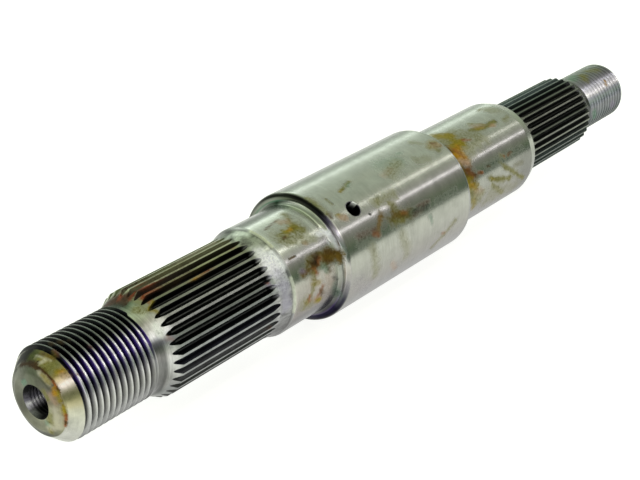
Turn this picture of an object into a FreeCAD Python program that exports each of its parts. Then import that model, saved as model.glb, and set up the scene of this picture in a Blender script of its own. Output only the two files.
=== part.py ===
import FreeCAD, Part
import Sketcher
import math
import os

# Splined shaft, turned and hobbed from one steel bar.
#
# Frame: +X runs along the shaft, from the end with the oil port to the far
# end. +Z is up. The shaft lies on its largest journal, and the origin is at
# the centre of its length, on the surface that it lies on, below its axis.
# Stations along the shaft (x_...) are measured from the rim of the port end.
# The flat middle of that end stands out past station 0 by the nose.

doc = FreeCAD.newDocument("splined_shaft")

sheet = doc.addObject("Spreadsheet::Sheet", "Sheet")
VALUES = [
    # port end, thread and relief
    ("nose", 1.1),              # how far the flat middle stands out
    ("nose_rad", 11.4),         # radius of the flat middle
    ("x_rim", 0.4),             # rim between the end face and the lead chamfer
    ("end_rad", 14.6),
    ("x_thread_a", 6.2),        # end of the lead chamfer
    ("thread_a_rad", 19.5),     # crest radius of the M39x3 thread
    ("x_relief_a", 43.0),       # end of the thread
    ("relief_a_rad", 19.0),     # turned-down land behind the thread
    ("x_cone_a", 45.6),         # foot of the cone
    # near spline
    ("spline_a_rad", 23.0),     # tip radius
    ("spline_a_root", 21.0),    # root radius
    ("x_spline_a", 52.5),       # top of the cone, full teeth from here
    ("x_spline_a_end", 108.6),  # end of the tip cylinder
    ("teeth_a", 34),
    ("space_a_tip", 1.56),      # half space width just above the tips
    ("space_a_foot", 0.52),     # half space width at the start of the root radius
    ("round_a", 0.62),          # radius of the rounded root
    ("x_runout_a", 103.6),      # cutter starts to lift here
    ("runout_a_rad", 10.0),     # radius of the cutter's way out
    ("phase_a", 3.51),          # turn of the first space from +Z, degrees
    # near bearing seat
    ("x_seat_a_cone", 116.4),
    ("seat_a_lead", 24.1),
    ("x_seat_a", 117.3),
    ("seat_rad", 25.0),
    # main journal
    ("x_main", 146.8),          # near shoulder
    ("main_rad", 30.0),
    ("edge_rad", 2.2),          # rounded edge of the journal at the near shoulder
    ("main_edge", 0.8),         # edge chamfer of the journal at the far shoulder
    ("x_main_end", 242.2),      # far shoulder
    ("fillet_rad", 1.9),        # fillet between seat and shoulder
    # far bearing seat
    ("x_seat_b_end", 306.0),    # start of the lead taper
    ("seat_b_lead", 23.1),
    ("x_shoulder_b", 312.6),
    # far spline
    ("spline_b_rad", 19.4),
    ("spline_b_root", 17.6),
    ("teeth_b", 33),
    ("space_b_tip", 1.36),
    ("space_b_foot", 0.46),
    ("round_b", 0.55),
    ("x_runout_b", 321.5),
    ("runout_b_rad", 6.0),
    ("phase_b", 6.2),           # turn of the first space from +Z, degrees
    ("x_spline_b_end", 377.1),
    ("x_spline_b_foot", 379.1),
    ("foot_b_rad", 17.5),
    # neck, far thread and far end
    ("x_neck_b", 382.8),
    ("neck_rad", 15.3),
    ("x_thread_b", 385.5),
    ("thread_b_rad", 15.6),
    ("x_thread_b_end", 421.6),
    ("x_end", 423.2),
    ("end_b_rad", 14.2),
    # oil port, gallery and cross hole
    ("port_mouth_rad", 7.0),
    ("x_port_mouth", 0.9),
    ("port_rad", 6.2),
    ("x_port", 26.0),
    ("gallery_rad", 4.0),
    ("x_gallery", 168.6),
    ("x_gallery_tip", 171.0),
    ("x_oil", 163.7),
    ("oil_rad", 3.4),
    ("oil_turn", 39.1),         # turn of the cross hole from +Z, degrees
    # centre hole at the far end
    ("centre_mouth_rad", 3.2),
    ("centre_cone", 2.9),
    ("centre_pilot_rad", 1.5),
    ("centre_depth", 6.0),
]
for row, (alias, value) in enumerate(VALUES, 1):
    sheet.set("A%d" % row, alias)
    sheet.set("B%d" % row, str(value))
    sheet.setAlias("B%d" % row, alias)
doc.recompute()
V = dict(VALUES)

body = doc.addObject("PartDesign::Body", "ShaftBody")
body.Label = "splined_shaft"
doc.recompute()


def origin_item(role):
    for item in body.Origin.OriginFeatures:
        if item.Role == role:
            return item
    raise RuntimeError("no origin feature " + role)


def number(expr):
    # a small reader for sums of aliases and numbers, such as "x_main+main_edge"
    total, sign, word = 0.0, 1.0, ""
    for ch in expr.replace(" ", "") + "+":
        if ch in "+-" and word:
            total += sign * (V[word] if word in V else float(word))
            sign, word = (1.0 if ch == "+" else -1.0), ""
        elif ch in "+-":
            sign = 1.0 if ch == "+" else -1.0
        else:
            word += ch
    return total


def bound(expr):
    # the same sum as a document expression
    out, word = "", ""
    for ch in expr.replace(" ", "") + "+":
        if ch in "+-":
            if word:
                out += ("Sheet." + word) if word in V else word
            out += ch
            word = ""
        else:
            word += ch
    return out[:-1]


def new_sketch(name, role, turn=None, shift=None):
    sk = body.newObject("Sketcher::SketchObject", name)
    sk.AttachmentSupport = [(origin_item(role), "")]
    sk.MapMode = "FlatFace"
    axis = FreeCAD.Vector(0, 0, 1) if role == "YZ_Plane" else FreeCAD.Vector(1, 0, 0)
    angle = V[turn] if turn else 0.0
    base = FreeCAD.Vector(0, 0, number(shift) if shift else 0.0)
    sk.AttachmentOffset = FreeCAD.Placement(base, FreeCAD.Rotation(axis, angle))
    if turn:
        sk.setExpression("AttachmentOffset.Rotation.Angle", "Sheet.%s * 1deg" % turn)
    if shift:
        sk.setExpression("AttachmentOffset.Base.z", "(" + bound(shift) + ") * 1mm")
    return sk


def pin_point(sk, geo, pos, xe, ye):
    """Hold a point at (xe, ye), each a sum of aliases, measured from the origin."""
    if xe == "0":
        sk.addConstraint(con("PointOnObject", geo, pos, -2))
    else:
        i = sk.addConstraint(con("DistanceX", -1, 1, geo, pos, number(xe)))
        sk.setExpression("Constraints[%d]" % i, "(" + bound(xe) + ") * 1mm")
    if ye == "0":
        sk.addConstraint(con("PointOnObject", geo, pos, -1))
    else:
        i = sk.addConstraint(con("DistanceY", -1, 1, geo, pos, number(ye)))
        sk.setExpression("Constraints[%d]" % i, "(" + bound(ye) + ") * 1mm")


def con(*args):
    return Sketcher.Constraint(*args)


def outline(sk, points):
    """Closed outline of straight lines through points given as alias sums."""
    vec = [FreeCAD.Vector(number(x), number(y), 0) for x, y in points]
    count = len(points)
    for i in range(count):
        sk.addGeometry(Part.LineSegment(vec[i], vec[(i + 1) % count]), False)
    for i in range(count):
        sk.addConstraint(con("Coincident", i, 2, (i + 1) % count, 1))
    for i, (xe, ye) in enumerate(points):
        pin_point(sk, i, 1, xe, ye)


# ---------------------------------------------------------------- turning
profile = new_sketch("TurnedProfile", "XZ_Plane")
outline(profile, [
    ("-nose", "0"),
    ("-nose", "nose_rad"),
    ("x_rim", "end_rad"),
    ("x_thread_a", "thread_a_rad"),
    ("x_relief_a", "thread_a_rad"),
    ("x_relief_a", "relief_a_rad"),
    ("x_cone_a", "relief_a_rad"),
    ("x_spline_a", "spline_a_rad"),
    ("x_spline_a_end", "spline_a_rad"),
    ("x_seat_a_cone", "seat_a_lead"),
    ("x_seat_a", "seat_rad"),
    ("x_main", "seat_rad"),
    ("x_main", "main_rad"),
    ("x_main_end-main_edge", "main_rad"),
    ("x_main_end", "main_rad-main_edge"),
    ("x_main_end", "seat_rad"),
    ("x_seat_b_end", "seat_rad"),
    ("x_shoulder_b", "seat_b_lead"),
    ("x_shoulder_b", "spline_b_rad"),
    ("x_spline_b_end", "spline_b_rad"),
    ("x_spline_b_foot", "foot_b_rad"),
    ("x_neck_b", "neck_rad"),
    ("x_thread_b", "neck_rad"),
    ("x_thread_b", "thread_b_rad"),
    ("x_thread_b_end", "thread_b_rad"),
    ("x_end", "end_b_rad"),
    ("x_end", "0"),
])
doc.recompute()

turned = body.newObject("PartDesign::Revolution", "Turned")
turned.Profile = profile
turned.ReferenceAxis = (origin_item("X_Axis"), [""])
turned.Angle = 360.0
doc.recompute()


def edges_at(shape, x, r, tol=0.02):
    names = []
    for i, e in enumerate(shape.Edges, 1):
        c = e.Curve
        if hasattr(c, "Radius") and abs(c.Radius - r) < tol and abs(c.Center.x - x) < tol:
            names.append("Edge%d" % i)
    return names


def add_fillet(name, base, places, alias):
    names = []
    for x, r in places:
        found = edges_at(base.Shape, x, r)
        if not found:
            raise RuntimeError("no edge at %.2f, %.2f" % (x, r))
        names += found
    f = body.newObject("PartDesign::Fillet", name)
    f.Base = (base, names)
    f.Radius = V[alias]
    f.setExpression("Radius", "Sheet.%s * 1mm" % alias)
    doc.recompute()
    return f


fillets = add_fillet("ShoulderFillets", turned,
                     [(V["x_main"], V["seat_rad"]), (V["x_main_end"], V["seat_rad"])],
                     "fillet_rad")
rounded = add_fillet("RoundedEdge", fillets, [(V["x_main"], V["main_rad"])], "edge_rad")

# ------------------------------------------------- oil port and gallery
port = new_sketch("PortProfile", "XZ_Plane")
outline(port, [
    ("-nose", "0"),
    ("-nose", "port_mouth_rad"),
    ("x_port_mouth", "port_rad"),
    ("x_port", "port_rad"),
    ("x_port+1.3", "gallery_rad"),
    ("x_gallery", "gallery_rad"),
    ("x_gallery_tip", "0"),
])
doc.recompute()
bored = body.newObject("PartDesign::Groove", "PortAndGallery")
bored.Profile = port
bored.ReferenceAxis = (origin_item("X_Axis"), [""])
bored.Angle = 360.0
doc.recompute()

centre = new_sketch("CentreHoleProfile", "XZ_Plane")
outline(centre, [
    ("x_end", "0"),
    ("x_end", "centre_mouth_rad"),
    ("x_end-centre_cone", "centre_pilot_rad"),
    ("x_end-centre_depth", "centre_pilot_rad"),
    ("x_end-centre_depth-0.9", "0"),
])
doc.recompute()
centred = body.newObject("PartDesign::Groove", "CentreHole")
centred.Profile = centre
centred.ReferenceAxis = (origin_item("X_Axis"), [""])
centred.Angle = 360.0
doc.recompute()

# cross hole from the gallery to the journal's surface
oil = new_sketch("OilHoleSketch", "XY_Plane", turn="oil_turn")
oil.addGeometry(Part.Circle(FreeCAD.Vector(V["x_oil"], 0, 0), FreeCAD.Vector(0, 0, 1), V["oil_rad"]), False)
pin_point(oil, 0, 3, "x_oil", "0")
i = oil.addConstraint(con("Radius", 0, V["oil_rad"]))
oil.setExpression("Constraints[%d]" % i, "Sheet.oil_rad * 1mm")
doc.recompute()
before = body.Shape.Volume
oiled = body.newObject("PartDesign::Pocket", "OilHole")
oiled.Profile = oil
oiled.Length = V["main_rad"] + 2
oiled.setExpression("Length", "(Sheet.main_rad + 2) * 1mm")
oiled.Reversed = True
doc.recompute()
removed = before - oiled.Shape.Volume
print("oil hole removes %.1f mm3" % removed)
if removed < 500:
    raise RuntimeError("the oil hole cuts nothing")


# ---------------------------------------------------------------- splines

def spline(tag, base, x_open, x_lift, outward, teeth):
    """Straight-sided spaces with a round root, cut open at one end and lifted
    out on an arc at the other, then repeated round the shaft.
    outward is +1 where the cutter leaves towards +X, -1 towards -X."""
    tip, root = "spline_%s_rad" % tag, "spline_%s_root" % tag
    half_tip, half_foot, arc_rad = "space_%s_tip" % tag, "space_%s_foot" % tag, "round_%s" % tag
    lift = "runout_%s_rad" % tag
    over = "2.4"                     # how far the section stands out past the tips
    # width of the section at its top, carried on at the flank's slope
    rise = V[arc_rad] - math.sqrt(V[arc_rad] ** 2 - V[half_foot] ** 2)
    grow = (V[half_tip] - V[half_foot]) / (V[tip] - V[root] - rise)
    key = "space_%s_top" % tag
    V[key] = round(V[half_tip] + grow * float(over), 4)
    n = len(VALUES) + (1 if tag == "a" else 2)
    sheet.set("A%d" % n, key)
    sheet.set("B%d" % n, str(V[key]))
    sheet.setAlias("B%d" % n, key)
    doc.recompute()

    top, foot, low = number(tip + "+" + over), V[root] + rise, V[root]
    w, f = V[key], V[half_foot]
    P = FreeCAD.Vector

    def draw_space(sec):
        sec.addGeometry(Part.LineSegment(P(w, top, 0), P(-w, top, 0)), False)
        sec.addGeometry(Part.LineSegment(P(-w, top, 0), P(-f, foot, 0)), False)
        arc = Part.Arc(P(-f, foot, 0), P(0, low, 0), P(f, foot, 0))
        sec.addGeometry(arc, False)
        sec.addGeometry(Part.LineSegment(P(f, foot, 0), P(w, top, 0)), False)
        left = sec.Geometry[2].StartPoint.x < 0
        sec.addConstraint(con("Coincident", 0, 2, 1, 1))
        sec.addConstraint(con("Coincident", 1, 2, 2, 1 if left else 2))
        sec.addConstraint(con("Coincident", 2, 2 if left else 1, 3, 1))
        sec.addConstraint(con("Coincident", 3, 2, 0, 1))
        pin_point(sec, 0, 1, key, tip + "+" + over)
        pin_point(sec, 0, 2, "-" + key, tip + "+" + over)
        # round root: its centre on the space's middle, its ends at the flanks
        sec.addConstraint(con("PointOnObject", 2, 3, -2))
        i = sec.addConstraint(con("DistanceY", -1, 1, 2, 3, V[root] + V[arc_rad]))
        sec.setExpression("Constraints[%d]" % i, "(" + bound(root + "+" + arc_rad) + ") * 1mm")
        i = sec.addConstraint(con("Radius", 2, V[arc_rad]))
        sec.setExpression("Constraints[%d]" % i, "Sheet.%s * 1mm" % arc_rad)
        for geo, pos, side in ((1, 2, "-"), (3, 1, "")):
            i = sec.addConstraint(con("DistanceX", -1, 1, geo, pos, number(side + half_foot)))
            sec.setExpression("Constraints[%d]" % i, side + "Sheet.%s * 1mm" % half_foot)

    sec = new_sketch("Space_%s_Section" % tag, "YZ_Plane", turn="phase_%s" % tag, shift=x_open)
    draw_space(sec)
    doc.recompute()

    # the cutter's way: straight along the roots, then out on an arc
    path = new_sketch("Space_%s_Path" % tag, "XZ_Plane", turn="phase_%s" % tag)
    a, b, r = number(x_open), V[x_lift], V[lift]
    swing = math.radians(62)
    low_end = 1.5 * math.pi
    path.addGeometry(Part.LineSegment(P(a, low, 0), P(b, low, 0)), False)
    path.addGeometry(Part.ArcOfCircle(
        Part.Circle(P(b, low + r, 0), P(0, 0, 1), r),
        low_end if outward > 0 else low_end - swing,
        low_end + swing if outward > 0 else low_end), False)
    pin_point(path, 0, 1, x_open, root)
    path.addConstraint(con("Coincident", 0, 2, 1, 1 if outward > 0 else 2))
    pin_point(path, 0, 2, x_lift, root)
    pin_point(path, 1, 3, x_lift, root + "+" + lift)
    doc.recompute()

    cut = body.newObject("PartDesign::SubtractivePipe", "Space_%s" % tag)
    cut.Profile = sec
    cut.Spine = (path, ["Edge1", "Edge2"])
    cut.Mode = "Fixed"
    cut.Transition = "Transformed"
    cut.Refine = False
    doc.recompute()
    gone = base.Shape.Volume - cut.Shape.Volume
    print("one space of spline %s removes %.2f mm3" % (tag, gone))
    if gone < 20:
        raise RuntimeError("spline %s cuts nothing" % tag)

    ring = body.newObject("PartDesign::PolarPattern", "Spline_%s" % tag)
    ring.Originals = [cut]
    ring.Axis = (origin_item("X_Axis"), [""])
    ring.Angle = 360.0
    ring.Occurrences = int(V[teeth])
    ring.setExpression("Occurrences", "Sheet.%s" % teeth)
    ring.Refine = False
    body.Tip = ring
    doc.recompute()
    total = base.Shape.Volume - ring.Shape.Volume
    print("spline %s removes %.1f mm3, %.2f spaces" % (tag, total, total / gone))
    if abs(total / gone - V[teeth]) > 0.5:
        raise RuntimeError("spline %s is not whole" % tag)
    return ring


ring_a = spline("a", oiled, "x_relief_a+1.0", "x_runout_a", 1, "teeth_a")
ring_b = spline("b", ring_a, "x_spline_b_foot+2.5", "x_runout_b", -1, "teeth_b")

# --------------------------------------------- lay the shaft on its journal
body.Placement = FreeCAD.Placement(
    FreeCAD.Vector(-(V["x_end"] - V["nose"]) / 2, 0, V["main_rad"]), FreeCAD.Rotation())
body.setExpression("Placement.Base.x", "-(Sheet.x_end - Sheet.nose) / 2 * 1mm")
body.setExpression("Placement.Base.z", "Sheet.main_rad * 1mm")
doc.recompute()

# ------------------------------------------------------------------ checks
bad = [o.Name for o in doc.Objects if "Invalid" in o.State or "Error" in o.State]
if bad:
    raise RuntimeError("failed objects: " + ", ".join(bad))
parts = [body]
for item in parts:
    s = item.Shape
    if s.isNull() or not s.isValid() or len(s.Solids) != 1:
        raise RuntimeError(item.Label + " has no single valid solid")
    bb = s.BoundBox
    print("%s: volume %.1f cm3, steel %.3f kg, box %.2f..%.2f %.2f..%.2f %.2f..%.2f" % (
        item.Label, s.Volume / 1000, s.Volume * 7.85e-6,
        bb.XMin, bb.XMax, bb.YMin, bb.YMax, bb.ZMin, bb.ZMax))
    c = s.Solids[0].CenterOfMass
    print("centre of mass %.2f %.2f %.2f" % (c.x, c.y, c.z))

os.makedirs("parts", exist_ok=True)
for item in parts:
    item.Shape.exportStep("parts/%s.step" % item.Label)
print("written", [p.Label for p in parts])
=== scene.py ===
import bpy
import math
import numpy as np
from mathutils import Matrix, Vector


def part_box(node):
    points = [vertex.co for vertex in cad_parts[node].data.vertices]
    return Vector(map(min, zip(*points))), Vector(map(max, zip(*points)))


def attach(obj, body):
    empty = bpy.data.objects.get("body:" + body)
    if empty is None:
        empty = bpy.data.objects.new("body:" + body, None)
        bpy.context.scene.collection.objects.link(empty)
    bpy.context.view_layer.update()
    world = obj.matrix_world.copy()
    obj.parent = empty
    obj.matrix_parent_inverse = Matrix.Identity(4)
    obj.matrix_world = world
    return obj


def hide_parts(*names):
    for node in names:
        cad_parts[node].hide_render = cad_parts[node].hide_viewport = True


# ---------------------------------------------------------------------------
# A splined shaft lying on its largest journal.
# Lengths below are millimetres in the shaft's own terms: a station x from the
# port end's rim, and a radius from the axis. Angles are degrees about the
# axis, from +Y towards +Z. They become metres in the row frame at the end.
# ---------------------------------------------------------------------------

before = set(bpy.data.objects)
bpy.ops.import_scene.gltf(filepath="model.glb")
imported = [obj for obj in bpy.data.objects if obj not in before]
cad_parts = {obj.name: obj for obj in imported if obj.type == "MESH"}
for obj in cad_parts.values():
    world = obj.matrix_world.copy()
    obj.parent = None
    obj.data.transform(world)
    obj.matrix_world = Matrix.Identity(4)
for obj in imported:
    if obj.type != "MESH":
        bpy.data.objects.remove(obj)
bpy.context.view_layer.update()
cad_lo, cad_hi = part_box("splined_shaft")
NOSE = 1.1                                       # the flat middle of the port end stands out by this
X0 = cad_lo.x * 1000.0 + NOSE                    # row x of station 0
AXIS_Z = (cad_lo.z + cad_hi.z) / 2.0 * 1000.0    # height of the axis, 30

FRONT = 141.6                                    # angle that the camera faces

# ------------------------------------------------------------ mesh builder

V = []        # station, y, z in mm from the axis
TAG = []      # per vertex: how deep in a groove (0 at the tip, 1 at the root)
F = []        # faces
M = []        # material index of each face

GROUND, TURNED, THREAD, SPLINE, THREAD_B, FACE, BORE, SPLINE_B, CHAMFER, CONE, SHOULDER, RUNOUT = range(12)


def add(x, r, a, deep=0.0):
    V.append((x, r * math.cos(math.radians(a)), r * math.sin(math.radians(a))))
    TAG.append(deep)
    return len(V) - 1


class Ring:
    """Vertices round the axis, by rising angle."""

    def __init__(self, idx, ang):
        self.idx, self.ang = list(idx), list(ang)

    def __len__(self):
        return len(self.idx)


def circle(x, r, n, start=0.0, deep=0.0):
    ang = [start + 360.0 * i / n for i in range(n)]
    return Ring([add(x, r, a, deep) for a in ang], ang)


def face(mat, *idx):
    out = []
    for i in idx:
        if not out or out[-1] != i:
            out.append(i)
    if len(out) > 1 and out[0] == out[-1]:
        out.pop()
    if len(out) >= 3:
        F.append(tuple(out))
        M.append(mat)


def join(A, B, mat, skip=None):
    """Faces between two rings. Equal counts give quads, others triangles."""
    na, nb = len(A), len(B)
    if na == nb:
        for i in range(na):
            if skip and skip(i):
                continue
            j = (i + 1) % na
            face(mat, A.idx[i], A.idx[j], B.idx[j], B.idx[i])
        return
    fa = [a - A.ang[0] for a in A.ang] + [360.0]
    shift = min(range(nb), key=lambda k: abs((B.ang[k] - A.ang[0] + 180.0) % 360.0 - 180.0))
    order = [(shift + k) % nb for k in range(nb)] + [shift]
    first = (B.ang[shift] - A.ang[0] + 180.0) % 360.0 - 180.0
    fb = [first + (B.ang[k] - B.ang[shift]) % 360.0 for k in order]
    fb[-1] = first + 360.0
    i = j = 0
    while i < na or j < nb:
        if j >= nb or (i < na and fa[i + 1] <= fb[j + 1]):
            face(mat, A.idx[i % na], A.idx[(i + 1) % na], B.idx[order[j]])
            i += 1
        else:
            face(mat, A.idx[i % na], B.idx[order[j + 1]], B.idx[order[j]])
            j += 1


def chain(rings, mats):
    for A, B, mat in zip(rings, rings[1:], mats):
        join(A, B, mat)


# ------------------------------------------------------------------ threads

def smooth(t):
    t = min(1.0, max(0.0, t))
    return t * t * (3 - 2 * t)


def thread(A, B, x_lo, x_hi, pitch, phase, steps, crest, depth, mat,
           envelope=None, end_hi=None, end_lo=None, inner=False):
    """A helical thread between ring A at x_lo and ring B at x_hi, both with
    one vertex for each column. steps is [(place in the pitch, depth 0..1)],
    from one crest to the next. A right-hand thread."""
    n, J = len(A), len(steps)
    ang = A.ang
    turns_lo = int(math.floor((x_lo - phase) / pitch)) - 2
    turns_hi = int(math.ceil((x_hi - phase) / pitch)) + 2
    margin = pitch * 0.02
    cols = []
    for i in range(n):
        lead = (ang[i] - ang[0]) / 360.0
        pts = []
        for k in range(turns_lo, turns_hi):
            for j, (s, dd) in enumerate(steps):
                x = phase + pitch * (k + s + lead)
                if x_lo + margin < x < x_hi - margin:
                    cut = depth * dd
                    if end_hi is not None:
                        cut *= smooth((end_hi[0] - (phase + pitch * (k + 0.5 + lead))) / end_hi[1])
                    if end_lo is not None:
                        cut *= smooth(((phase + pitch * (k + 0.5 + lead)) - end_lo[0]) / end_lo[1])
                    r = crest + cut if inner else crest - cut
                    pts.append([x, r, k * J + j, cut / depth])
        if envelope:
            # put a vertex on each place where the turned outline meets the thread
            prev = None
            for p in pts:
                e = envelope(p[0])
                if prev is not None:
                    d0, d1 = prev[1] - envelope(prev[0]), p[1] - e
                    if d0 * d1 < 0:
                        t = d0 / (d0 - d1)
                        xs = prev[0] + t * (p[0] - prev[0])
                        hit = prev if t < 0.5 else p
                        if not hit[4:]:
                            hit += [xs, envelope(xs)]
                prev = p
            for p in pts:
                if p[4:]:
                    p[0], p[1] = p[4], p[5]
                elif p[1] > envelope(p[0]):
                    p[1] = envelope(p[0])
                p[3] = min(1.0, max(0.0, (min(crest, envelope(p[0])) - p[1]) / depth))
        cols.append([(add(p[0], p[1], ang[i], p[3]), p[2]) for p in pts])
    for i in range(n):
        j = (i + 1) % n
        wrap = J if i == n - 1 else 0        # the next column is one turn on
        left = [(A.idx[i], -1e9)] + cols[i] + [(B.idx[i], 1e9)]
        right = [(A.idx[j], -1e9)] + [(v, k - wrap) for v, k in cols[j]] + [(B.idx[j], 1e9)]
        p = q = 0
        while p < len(left) - 1 or q < len(right) - 1:
            if p < len(left) - 1 and q < len(right) - 1 and left[p + 1][1] == right[q + 1][1]:
                quad = (left[p][0], right[q][0], right[q + 1][0], left[p + 1][0])
                p, q = p + 1, q + 1
            elif q >= len(right) - 1 or (p < len(left) - 1 and left[p + 1][1] < right[q + 1][1]):
                quad = (left[p][0], right[q][0], left[p + 1][0])
                p += 1
            else:
                quad = (left[p][0], right[q][0], right[q + 1][0])
                q += 1
            if inner:
                quad = quad[::-1]
            face(mat, *quad)


# ------------------------------------------------------------------ splines

def tooth_ring(x, env, teeth, phase, tip, root, half_tip, half_foot, round_rad, lift=0.0, edge=0.12):
    """One ring across all teeth at station x. env is the turned radius there,
    lift is how far the cutter has risen. 12 vertices for each tooth."""
    rise = round_rad - math.sqrt(round_rad ** 2 - half_foot ** 2)
    slope = (half_tip - half_foot) / (tip - root - rise)      # du/dv of the flank
    foot_v = root + rise + lift

    def half_at(v):
        """Half width of the space at height v."""
        if v <= root + lift:
            return 0.0
        if v < foot_v:
            h = v - root - lift
            return math.sqrt(max(0.0, round_rad ** 2 - (round_rad - h) ** 2))
        return half_foot + slope * (v - foot_v)

    def height(u):
        u = abs(u)
        if u <= half_foot:
            return root + lift + round_rad - math.sqrt(round_rad ** 2 - u * u)
        return foot_v + (u - half_foot) / slope

    # where the space's wall meets the turned outline
    depth = env - root - lift
    w = 0.16
    if depth > 0:
        v = env
        for _ in range(8):
            w = half_at(v)
            v = math.sqrt(max(env * env - w * w, 0.0))
        w = max(w, 0.16)
    pitch = 360.0 / teeth
    land = math.radians(pitch / 2) * env - w
    e = min(edge, max(0.02, depth * 0.3), land * 0.35) if depth > 0 else 0.02
    inner = max(w - 0.25 * min(e / 0.12, 1.0) * 0.6, w * 0.8)
    us = [-inner, -(inner + min(half_foot, inner)) / 2 if inner > half_foot * 1.3 else -inner * 0.8,
          -min(half_foot, inner * 0.62), -min(half_foot, inner * 0.62) * 0.5, 0.0]
    us = us + [-u for u in us[-2::-1]]
    pts = []
    full = max(env - root - lift, 1e-6)
    for u in us:
        v = height(u)
        top = math.sqrt(max(env * env - u * u, 0.0))
        v = min(v, top)
        if depth <= 0:
            v = top
        a = math.degrees(math.atan2(u, v))
        r = math.hypot(u, v)
        pts.append((a, r, min(1.0, max(0.0, (env - r) / 1.9))))
    edge_a = math.degrees((w + e) / env)
    rim = [(-edge_a, env, 0.0)]
    last = [(edge_a, env, 0.0)]
    mid = [(pitch / 2, env, 0.0)]
    one = rim + pts + last + mid
    idx, ang = [], []
    for k in range(teeth):
        c = 90.0 + phase + pitch * k
        for a, r, d in one:
            # angles turn the same way as the space's own u
            idx.append(add(x, r, c + a, d))
            ang.append(c + a)
    return Ring(idx, ang)


# ------------------------------------------------- the journals' dense rows

def rows(x0, x1, step):
    k = max(1, int(round((x1 - x0) / step)))
    return [x0 + (x1 - x0) * i / k for i in range(k + 1)]


def window(rings, xs, cols, radius, n, centre_x, centre_a, hole, chamfer, mat, edge_ring_first):
    """Fills a rectangular gap in a cylinder round a round cross hole, and
    returns the loop of vertices at the hole's edge, with each one's direction."""
    c0, c1 = cols
    loop = []
    # boundary, walked once round: +x side is direction 0, rising angle is 90
    for k in range(len(xs) - 1):
        loop.append(rings[k].idx[c0 % n])
    for c in range(c0, c1):
        loop.append(rings[len(xs) - 1].idx[c % n])
    for k in range(len(xs) - 1, 0, -1):
        loop.append(rings[k].idx[c1 % n])
    for c in range(c1, c0, -1):
        loop.append(rings[0].idx[c % n])
    ca, sa = math.cos(math.radians(centre_a)), math.sin(math.radians(centre_a))

    def local(i):
        x, y, z = V[i]
        return x - centre_x, -y * sa + z * ca       # along x, and round the shaft

    dirs = []
    for i in loop:
        u, v = local(i)
        dirs.append(math.atan2(v, u))
    prev = loop
    steps = [0.72, 0.45, 0.2, 0.0]
    uv0 = [local(i) for i in loop]
    for s in steps:
        cur = []
        for (u, v), d in zip(uv0, dirs):
            hu, hv = (hole + chamfer) * math.cos(d), (hole + chamfer) * math.sin(d)
            uu, vv = hu + (u - hu) * s, hv + (v - hv) * s
            a = centre_a + math.degrees(math.asin(vv / radius))
            cur.append(add(centre_x + uu, radius, a))
        for i in range(len(loop)):
            j = (i + 1) % len(loop)
            q = (prev[i], cur[i], cur[j], prev[j])
            face(mat, *(q if edge_ring_first else q[::-1]))
        prev = cur
    return prev, dirs


# ------------------------------------------------------ building the chain

OIL_X, OIL_A, OIL_R = 163.7, 90.0 + 39.1, 3.4

# gallery, from its blind tip towards the port (inside surfaces)
NG = 48
g_start = OIL_A
tip = add(171.0, 0.0, 0.0, 1.0)
gal = []
gal_x = [168.6] + [OIL_X + 4.3 - 8.6 * k / 8 for k in range(9)]
end = circle(gal_x[0], 4.0, NG, g_start, 1.0)
for i in range(NG):
    face(BORE, tip, end.idx[(i + 1) % NG], end.idx[i])
gal_rings = [circle(x, 4.0, NG, g_start, 1.0) for x in gal_x[1:]]
join(end, gal_rings[0], BORE)
for k in range(8):
    # columns -8..8 are open for the cross hole
    join(gal_rings[k], gal_rings[k + 1], BORE, skip=lambda i: i < 8 or i >= NG - 8)
g_loop, g_dirs = window(gal_rings, gal_x[1:], (-8, 8), 4.0, NG, OIL_X, OIL_A, OIL_R, 0.0, BORE, True)

rings = [gal_rings[-1]]
for x in (120.0, 80.0, 45.0, 27.3):
    rings.append(circle(x, 4.0, NG, g_start, 1.0))
NP = 34
neck_in = circle(26.0, 6.2, NP, 0.0, 1.0)
rings.append(neck_in)
chain(rings, [BORE] * len(rings))

# port: M14 x 1.5, crest at 6.2, root at 7.0 (inside thread)
port_out = circle(0.9, 6.24, NP, 0.0, 0.3)
thread(port_out, neck_in, 0.9, 26.0, 1.5, 0.0,
       [(0.0, 0.0), (0.12, 0.0), (0.40, 1.0), (0.52, 1.0), (0.60, 1.0), (0.88, 0.0)],
       6.2, 0.6, BORE, inner=True, end_hi=(24.5, 1.5))
# the mouth's long lead, the flat middle of the face and its bevel
lip = circle(-0.95, 6.94, NP, 0.0, 0.0)
join(port_out, lip, BORE)
mouth = circle(-NOSE, 7.06, NP, 0.0, 0.0)
join(lip, mouth, BORE)
N1 = 136
face_rings = [mouth, circle(-NOSE, 7.6, 68), circle(-NOSE, 9.0, N1), circle(-NOSE, 10.2, N1), circle(-NOSE, 11.2, N1),
              circle(-1.0, 11.61, N1), circle(-0.66, 12.34, N1), circle(-0.3, 13.1, N1), circle(0.06, 13.87, N1),
              circle(0.28, 14.35, N1), circle(0.4, 14.56, N1), circle(0.62, 14.79, N1)]
chain(face_rings, [FACE] * 11)


# near lead chamfer and thread M39 x 3
def lead(x):
    return 14.6 + 4.9 * (x - 0.4) / 5.8 if x < 6.2 else 19.5


cone = [face_rings[-1]]
for x in (1.2, 1.9, 2.6, 3.3):
    cone.append(circle(x, lead(x), N1))
chain(cone, [CHAMFER] * 4)
A1 = circle(3.9, lead(3.9), N1)
join(cone[-1], A1, CHAMFER)
B1 = circle(43.0, 19.02, N1)
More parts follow.
